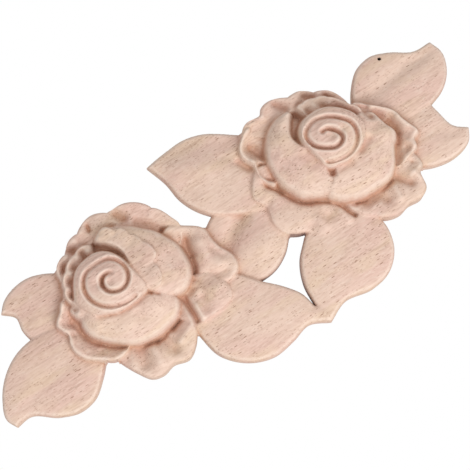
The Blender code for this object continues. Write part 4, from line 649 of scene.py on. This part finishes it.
def height_of(element, places):
    """Height of one element, rounded at its edge and falling steeply outside it."""
    low = element.outline.min(0) - MARGIN
    high = element.outline.max(0) + MARGIN
    near = ((places > low) & (places < high)).all(1)
    height = np.full(len(places), NOWHERE)
    distance = np.full(len(places), NOWHERE)
    if near.any():
        spot = places[near]
        depth = inside_distance(spot, element.outline)
        worn = np.clip(1.0 - depth / element.edge, 0.0, 1.0)
        top = element.surface(spot, depth) - element.fall * (1.0 - np.sqrt(1.0 - worn**2))
        height[near] = top - WALL_SLOPE * np.maximum(-depth, 0.0)
        distance[near] = depth
    return height, distance


def relief(elements, places):
    """Height of the carving at each place, and how far inside its outline the place lies.

    A petal covers the leaves that pass under it, even where its own surface dips below theirs.
    """
    leaves_top = np.full(len(places), NOWHERE)
    petals_top = np.full(len(places), NOWHERE)
    inside = np.full(len(places), NOWHERE)
    covered = np.zeros(len(places), bool)
    for element in elements:
        top, distance = height_of(element, places)
        inside = np.maximum(inside, distance)
        if element.covers is None:
            leaves_top = np.maximum(leaves_top, top)
        else:
            petals_top = np.maximum(petals_top, top)
            covered |= element.covers & (distance > element.edge)
    return np.where(covered, petals_top, np.maximum(leaves_top, petals_top)), inside


def normals_of(outline):
    """Unit vectors that point into a closed outline."""
    ahead = np.roll(outline, -1, axis=0) - np.roll(outline, 1, axis=0)
    area = (outline[:, 0] * np.roll(outline[:, 1], -1) - np.roll(outline[:, 0], -1) * outline[:, 1]).sum()
    inward = np.stack([-ahead[:, 1], ahead[:, 0]], 1) * math.copysign(1.0, area)
    return inward / np.maximum(np.hypot(*inward.T), TINY)[:, None]


def edge_lines(elements):
    """The lines that the mesh follows: each visible edge, its rounding, and the foot of its wall."""
    lines = []
    for element in elements:
        others = [other for other in elements if other is not element]
        inward = normals_of(element.outline)
        own, _ = height_of(element, element.outline)
        below, outside = relief(others, element.outline)
        shows = own > below
        drop = np.clip(own - np.maximum(below, 0.0), 0.0, WALL_CUT) / WALL_SLOPE
        foot_shows = shows & (outside > 0.0) & (drop > SHORT_WALL)
        lines.append((element.outline, shows))
        lines.append((element.outline + inward * element.edge * CREST_SHARE, shows))
        lines.append((element.outline + inward * element.edge, shows))
        lines.append((element.outline - inward * drop[:, None], foot_shows))
    return lines


def mesh_plan(elements):
    """A triangle mesh of the whole outline, split along the carving's own edges: places, heights, faces."""
    places = []
    edges = []
    count = 0
    for line, shows in edge_lines(elements):
        following = np.roll(shows, -1)
        places.append(line)
        for index in np.nonzero(shows | following)[0]:
            edges.append((count + int(index), count + int((index + 1) % len(line))))
        count += len(line)
    used = {index for edge in edges for index in edge}
    kept = sorted(used)
    number = {old: new for new, old in enumerate(kept)}
    edge_places = np.concatenate(places)[kept]
    edges = [(number[a], number[b]) for a, b in edges]
    free = between_points(elements, edge_places)
    points = [Vector(place) for place in np.concatenate([edge_places, free])]
    spots, _, faces, _, _, _ = delaunay_2d_cdt(points, edges, [], 0, MERGE / 2, False)
    spots = np.array([tuple(spot) for spot in spots])
    faces = np.array(faces)
    height, inside = relief(elements, spots)
    doubtful = (inside[faces] < MERGE).all(1)
    kept = np.ones(len(faces), bool)
    kept[doubtful] = relief(elements, spots[faces[doubtful]].mean(1))[1] > 0.0
    return spots, height, faces[kept]


def between_points(elements, edge_places):
    """Points on a triangular grid, where they lie inside the outline and clear of the edges."""
    low = edge_places.min(0)
    high = edge_places.max(0)
    rows = np.arange(low[1], high[1], SURFACE_STEP * math.sqrt(3) / 2)
    columns = np.arange(low[0], high[0], SURFACE_STEP)
    x, z = np.meshgrid(columns, rows)
    x = x + SURFACE_STEP / 2 * (np.arange(len(rows)) % 2)[:, None]
    grid = np.stack([x.ravel(), z.ravel()], 1)
    nearest = KDTree(len(edge_places))
    for index, place in enumerate(edge_places):
        nearest.insert((place[0], place[1], 0.0), index)
    nearest.balance()
    clear = [nearest.find((place[0], place[1], 0.0))[2] > SURFACE_STEP / 2 for place in grid]
    grid = grid[np.array(clear)]
    _, inside = relief(elements, grid)
    return grid[inside > SURFACE_STEP / 2]


def carved_face(elements):
    """The carved face as an open mesh."""
    spots, height, faces = mesh_plan(elements)
    shape = bmesh.new()
    corners = [shape.verts.new((x * MM, -h * MM, z * MM)) for (x, z), h in zip(spots, height)]
    for face in faces:
        shape.faces.new([corners[index] for index in face])
    loose = [corner for corner in shape.verts if not corner.link_faces]
    bmesh.ops.delete(shape, geom=loose, context="VERTS")
    bmesh.ops.remove_doubles(shape, verts=shape.verts[:], dist=MERGE * MM)
    return shape


def close_back(shape):
    """Carries the face's outer edge straight down to the plane of the back, and closes the back."""
    border = [edge for edge in shape.edges if edge.is_boundary]
    walls = bmesh.ops.extrude_edge_only(shape, edges=border)["geom"]
    feet = [item for item in walls if isinstance(item, bmesh.types.BMVert)]
    rim = [item for item in walls if isinstance(item, bmesh.types.BMEdge)]
    for foot in feet:
        foot.co.y = 0.0
    number = {foot: index for index, foot in enumerate(feet)}
    edges = [(number[edge.verts[0]], number[edge.verts[1]]) for edge in rim]
    places = np.array([(foot.co.x, foot.co.z) for foot in feet]) / MM
    _, _, faces, _, _, _ = delaunay_2d_cdt([Vector(place) for place in places], edges, [], 0, 0.0, False)
    start = places[[edge[0] for edge in edges]]
    end = places[[edge[1] for edge in edges]]
    kept = enclosed(places[np.array(faces)].mean(1), start, end)
    for face, inside in zip(faces, kept):
        if inside:
            shape.faces.new([feet[index] for index in face])
    bmesh.ops.triangulate(shape, faces=[face for face in shape.faces if len(face.verts) > 3])
    bmesh.ops.recalc_face_normals(shape, faces=shape.faces[:])


def smoothed(height, links, rounds):
    """The heights after each point has moved half way to the mean of its neighbours, a number of times."""
    first, second = links.T
    count = len(height)
    neighbours = np.maximum(np.bincount(first, minlength=count) + np.bincount(second, minlength=count), 1)
    for _ in range(rounds):
        total = np.bincount(first, height[second], count) + np.bincount(second, height[first], count)
        height = (height + total / neighbours) / 2
    return height


def marks(places):
    """Depth of the pin hole and of the split."""
    hole = PIN_DEPTH * np.exp(-(line_distance(places, [PIN_HOLE]) / PIN_RADIUS)**4)
    return hole + SPLIT_DEPTH * np.exp(-(line_distance(places, SPLIT) / SPLIT_WIDTH)**2)


def finished_face():
    """The carved face with its creases rubbed down, and at each point what its colour depends on."""
    shape = carved_face(leaves() + right_rose() + left_rose())
    shape.verts.index_update()
    places = np.array([(vertex.co.x, vertex.co.z) for vertex in shape.verts]) / MM
    height = np.array([-vertex.co.y for vertex in shape.verts]) / MM
    links = np.array([(edge.verts[0].index, edge.verts[1].index) for edge in shape.edges])
    rim = np.zeros(len(height), bool)
    rim[[vertex.index for vertex in shape.verts if vertex.is_boundary]] = True
    rubbed = np.where(rim, height, smoothed(height, links, RUBBING))
    # painted shade on the sides: full in the opening between the leaves, a little on the outer sides
    opening = (np.abs(places - np.array(OPENING)) < np.array(OPENING_HALF)).all(1)
    side = np.where(opening, 1.0, OUTER_SIDE) * smoothed(rim * 1.0, links, SIDE_ROUNDS)
    marked = marks(places)
    # the hollow layers set where shade is painted into hollows and highlights onto ridges
    layers = (("narrow_hollow", ~rim * (smoothed(rubbed, links, NARROW_ROUNDS) - rubbed)),
              ("wide_hollow", ~rim * (smoothed(rubbed, links, WIDE_ROUNDS) - rubbed)),
              ("mark", ~rim * marked), ("side", side / side[rim].max()))
    for name, values in layers:
        layer = shape.verts.layers.float.new(name)
        for vertex, value in zip(shape.verts, values):
            vertex[layer] = value
    for vertex, level in zip(shape.verts, rubbed - marked):
        vertex.co.y = -level * MM
    return shape


def carving():
    """The whole applique: the finished face, its sides and its flat back."""
    shape = finished_face()
    close_back(shape)
    mesh = bpy.data.meshes.new("carving")
    shape.to_mesh(mesh)
    shape.free()
    mesh.materials.append(rubberwood())
    mesh.shade_smooth()
    mesh.set_sharp_from_angle(angle=SHARP_ANGLE)
    return placed("carving", mesh)


def placed(name, data):
    """A new object in the scene."""
    made = bpy.data.objects.new(name, data)
    bpy.context.scene.collection.objects.link(made)
    return made


def node(tree, kind, **settings):
    """A new shader node with its settings made."""
    made = tree.nodes.new(kind)
    for name, value in settings.items():
        setattr(made, name, value)
    return made


def stretched(tree, place, along, across):
    """Texture coordinates for a pattern of the given size along the grain and across it."""
    mapping = node(tree, "ShaderNodeMapping")
    mapping.inputs["Scale"].default_value = (1.0 / (along * MM), 1.0 / (across * MM), 1.0 / (across * MM))
    tree.links.new(place, mapping.inputs["Vector"])
    return mapping.outputs["Vector"]


def pattern(tree, place, along, across, detail):
    """A noise with patches of the given size."""
    made = node(tree, "ShaderNodeTexNoise")
    made.inputs["Scale"].default_value = 1.0
    made.inputs["Detail"].default_value = detail
    tree.links.new(stretched(tree, place, along, across), made.inputs["Vector"])
    return made.outputs["Fac"]


def ramp(tree, value, low, high, start=0.0, end=1.0):
    """The value carried from the range low to high to the range start to end, and held there."""
    made = node(tree, "ShaderNodeMapRange", interpolation_type="SMOOTHSTEP")
    for name, number in (("From Min", low), ("From Max", high), ("To Min", start), ("To Max", end)):
        made.inputs[name].default_value = number
    tree.links.new(value, made.inputs["Value"])
    return made.outputs["Result"]


def product(tree, first, second):
    made = node(tree, "ShaderNodeMath", operation="MULTIPLY")
    tree.links.new(first, made.inputs[0])
    tree.links.new(second, made.inputs[1])
    return made.outputs[0]


def mixed(tree, amount, under, over):
    """One colour laid over another by an amount. Each is a colour or a link.

    The Mix node has its colour inputs at 6 and 7 and its colour output at 2.
    """
    made = node(tree, "ShaderNodeMix", data_type="RGBA")
    tree.links.new(amount, made.inputs["Factor"])
    for socket, colour in ((made.inputs[6], under), (made.inputs[7], over)):
        if isinstance(colour, tuple):
            socket.default_value = colour
        else:
            tree.links.new(colour, socket)
    return made.outputs[2]


def stored(tree, name):
    made = node(tree, "ShaderNodeAttribute", attribute_name=name)
    return made.outputs["Fac"]


def carved_share(tree, place):
    """Zero on the flat back and one on all that is carved, by the distance from the back."""
    apart = node(tree, "ShaderNodeSeparateXYZ")
    tree.links.new(place, apart.inputs["Vector"])
    return ramp(tree, apart.outputs["Y"], *BACK_EDGE)


def pores(tree, place, along, across, size):
    """Amount of the open pores: short dashes along the grain, in loose clusters."""
    cells = node(tree, "ShaderNodeTexVoronoi")
    cells.inputs["Scale"].default_value = 1.0
    tree.links.new(stretched(tree, place, along, across), cells.inputs["Vector"])
    dash = ramp(tree, cells.outputs["Distance"], size, size / 2)
    chance = node(tree, "ShaderNodeSeparateColor")
    tree.links.new(cells.outputs["Color"], chance.inputs["Color"])
    chosen = ramp(tree, chance.outputs[0], *PORE_CHANCE)
    clusters = pattern(tree, place, CLUSTER[0] * along, CLUSTER[1] * across, CLUSTER_DETAIL)
    return product(tree, product(tree, dash, chosen), ramp(tree, clusters, *CLUSTER_RAMP))


def rubberwood():
    """Bare, sanded rubberwood: pale pinkish beige, with fine grain and open pores along the length. Its
    colour also carries painted shade in the hollows, on the cut sides and in the marks, and painted
    highlights on the ridges.
    """
    material = bpy.data.materials.new("bare_wood")
    material.use_nodes = True
    tree = material.node_tree
    shader = tree.nodes["Principled BSDF"]
    place = node(tree, "ShaderNodeTexCoord").outputs["Object"]
    fibres = pattern(tree, place, *FIBRES)
    dashes = pores(tree, place, *DASHES)
    narrow = stored(tree, "narrow_hollow")
    patches = ramp(tree, pattern(tree, place, *STREAK_PATCHES), *PATCH_RAMP)
    carved = carved_share(tree, place)
    # What shows, the values between which it comes up, its strength, where it may be, and its colour
    tints = (
        (pattern(tree, place, *PINK_BANDS), 0.38, 0.62, 1.0, None, PINK_WOOD),
        (pattern(tree, place, *HONEY_BANDS), 0.45, 0.7, 0.9, None, HONEY_WOOD),
        (pattern(tree, place, *STREAKS), 0.47, 0.72, 0.38, patches, PORE_BROWN),
        (fibres, 0.5, 0.72, 0.2, None, PORE_BROWN),
        (fibres, 0.48, 0.28, 0.35, None, PALE_FIBRE_AND_RIDGE_HIGHLIGHT),
        (pattern(tree, place, *GROWTH_LAYERS), 0.52, 0.6, 0.1, None, PORE_BROWN),
        (pores(tree, place, *DOTS), 0.0, 1.0, 0.55, None, PORE_BROWN),
        (dashes, 0.0, 1.0, 0.9, None, PORE_BROWN),
        # painted highlights on the ridges
        (narrow, -0.05, -0.5, 0.6, carved, PALE_FIBRE_AND_RIDGE_HIGHLIGHT),
        # painted shade in the hollows, partly a warmer tone of the wood there
        (narrow, 0.05, 0.8, 0.4, carved, HOLLOW_SHADE_BROWN),
        (stored(tree, "wide_hollow"), 0.2, 2.2, 0.26, carved, HOLLOW_SHADE_BROWN))
    colour = PALE_WOOD
    for shown, low, high, strength, share, tint in tints:
        amount = ramp(tree, shown, low, high, 0.0, strength)
        colour = mixed(tree, product(tree, amount, share) if share is not None else amount, colour, tint)
    # painted shade on the cut sides, strongest in the opening between the leaves
    colour = mixed(tree, product(tree, stored(tree, "side"), carved), colour, CUT_SIDE_AND_SHADE_BROWN)
    # painted shade in the pin hole and the split
    colour = mixed(tree, ramp(tree, stored(tree, "mark"), *MARK_SHADE_RAMP), colour, MARK_SHADE_BLACK)
    tree.links.new(colour, shader.inputs["Base Color"])
    tree.links.new(ramp(tree, dashes, 0.0, 1.0, *ROUGHNESS), shader.inputs["Roughness"])
    shader.inputs["Specular IOR Level"].default_value = SHINE
    bump = node(tree, "ShaderNodeBump")
    bump.inputs["Distance"].default_value = FUZZ_DEPTH * MM
    bump.inputs["Strength"].default_value = FUZZ_STRENGTH
    height = node(tree, "ShaderNodeMath", operation="SUBTRACT")
    tree.links.new(pattern(tree, place, *FUZZ), height.inputs[0])
    tree.links.new(dashes, height.inputs[1])
    tree.links.new(height.outputs[0], bump.inputs["Height"])
    tree.links.new(bump.outputs["Normal"], shader.inputs["Normal"])
    return material


def pale_floor():
    material = bpy.data.materials.new("pale_floor")
    material.use_nodes = True
    shader = material.node_tree.nodes["Principled BSDF"]
    shader.inputs["Base Color"].default_value = FLOOR_PALE
    shader.inputs["Roughness"].default_value = FLOOR_ROUGHNESS
    half = FLOOR_SIZE / 2
    mesh = bpy.data.meshes.new("floor")
    corners = [(x, y, FLOOR_LEVEL) for x, y in ((-half, -half), (half, -half), (half, half), (-half, half))]
    mesh.from_pydata(corners, [], [(0, 1, 2, 3)])
    mesh.materials.append(material)
    placed("floor", mesh)


def camera_axes():
    """The camera's right, up and back directions."""
    right = Vector((math.cos(ROLL), 0.0, -math.sin(ROLL)))
    down = Vector((-math.sin(ROLL), 0.0, -math.cos(ROLL)))
    back = math.cos(LEAN) * Vector((0.0, -1.0, 0.0)) + math.sin(LEAN) * down
    return right, back.cross(right), back


def photo_camera():
    right, up, back = camera_axes()
    data = bpy.data.cameras.new("photo_camera")
    data.sensor_width = SENSOR
    data.lens = DISTANCE / PIXEL / PICTURE * SENSOR
    data.clip_start = CLIP_START
    camera = placed("photo_camera", data)
    turn = Matrix((right, up, back)).transposed().to_4x4()
    camera.matrix_world = Matrix.Translation((back * DISTANCE - up * AIM_DOWN) * MM) @ turn
    bpy.context.scene.camera = camera
    return camera


def soft_light(camera):
    """A large soft lamp low on the right, in an even white sky that the camera sees as pure white."""
    right, up, _ = camera_axes()
    data = bpy.data.lights.new("key", "AREA")
    data.size = KEY_SIZE
    data.energy = KEY_POWER
    lamp = placed("key", data)
    place = camera.matrix_world.translation + right * KEY_RIGHT - up * KEY_DOWN
    lamp.matrix_world = Matrix.Translation(place) @ place.to_track_quat("Z", "Y").to_matrix().to_4x4()
    world = bpy.data.worlds.new("studio")
    world.use_nodes = True
    tree = world.node_tree
    sky = tree.nodes["Background"]
    sky.inputs["Color"].default_value = WHITE
    sky.inputs["Strength"].default_value = SKY_STRENGTH
    seen = node(tree, "ShaderNodeBackground")
    seen.inputs["Color"].default_value = WHITE
    either = node(tree, "ShaderNodeMixShader")
    tree.links.new(node(tree, "ShaderNodeLightPath").outputs["Is Camera Ray"], either.inputs[0])
    tree.links.new(sky.outputs[0], either.inputs[1])
    tree.links.new(seen.outputs[0], either.inputs[2])
    tree.links.new(either.outputs[0], tree.nodes["World Output"].inputs["Surface"])
    bpy.context.scene.world = world


applique = carving()
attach(applique, "root")
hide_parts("applique")
pale_floor()
soft_light(photo_camera())
bpy.context.scene.view_settings.view_transform = "Standard"
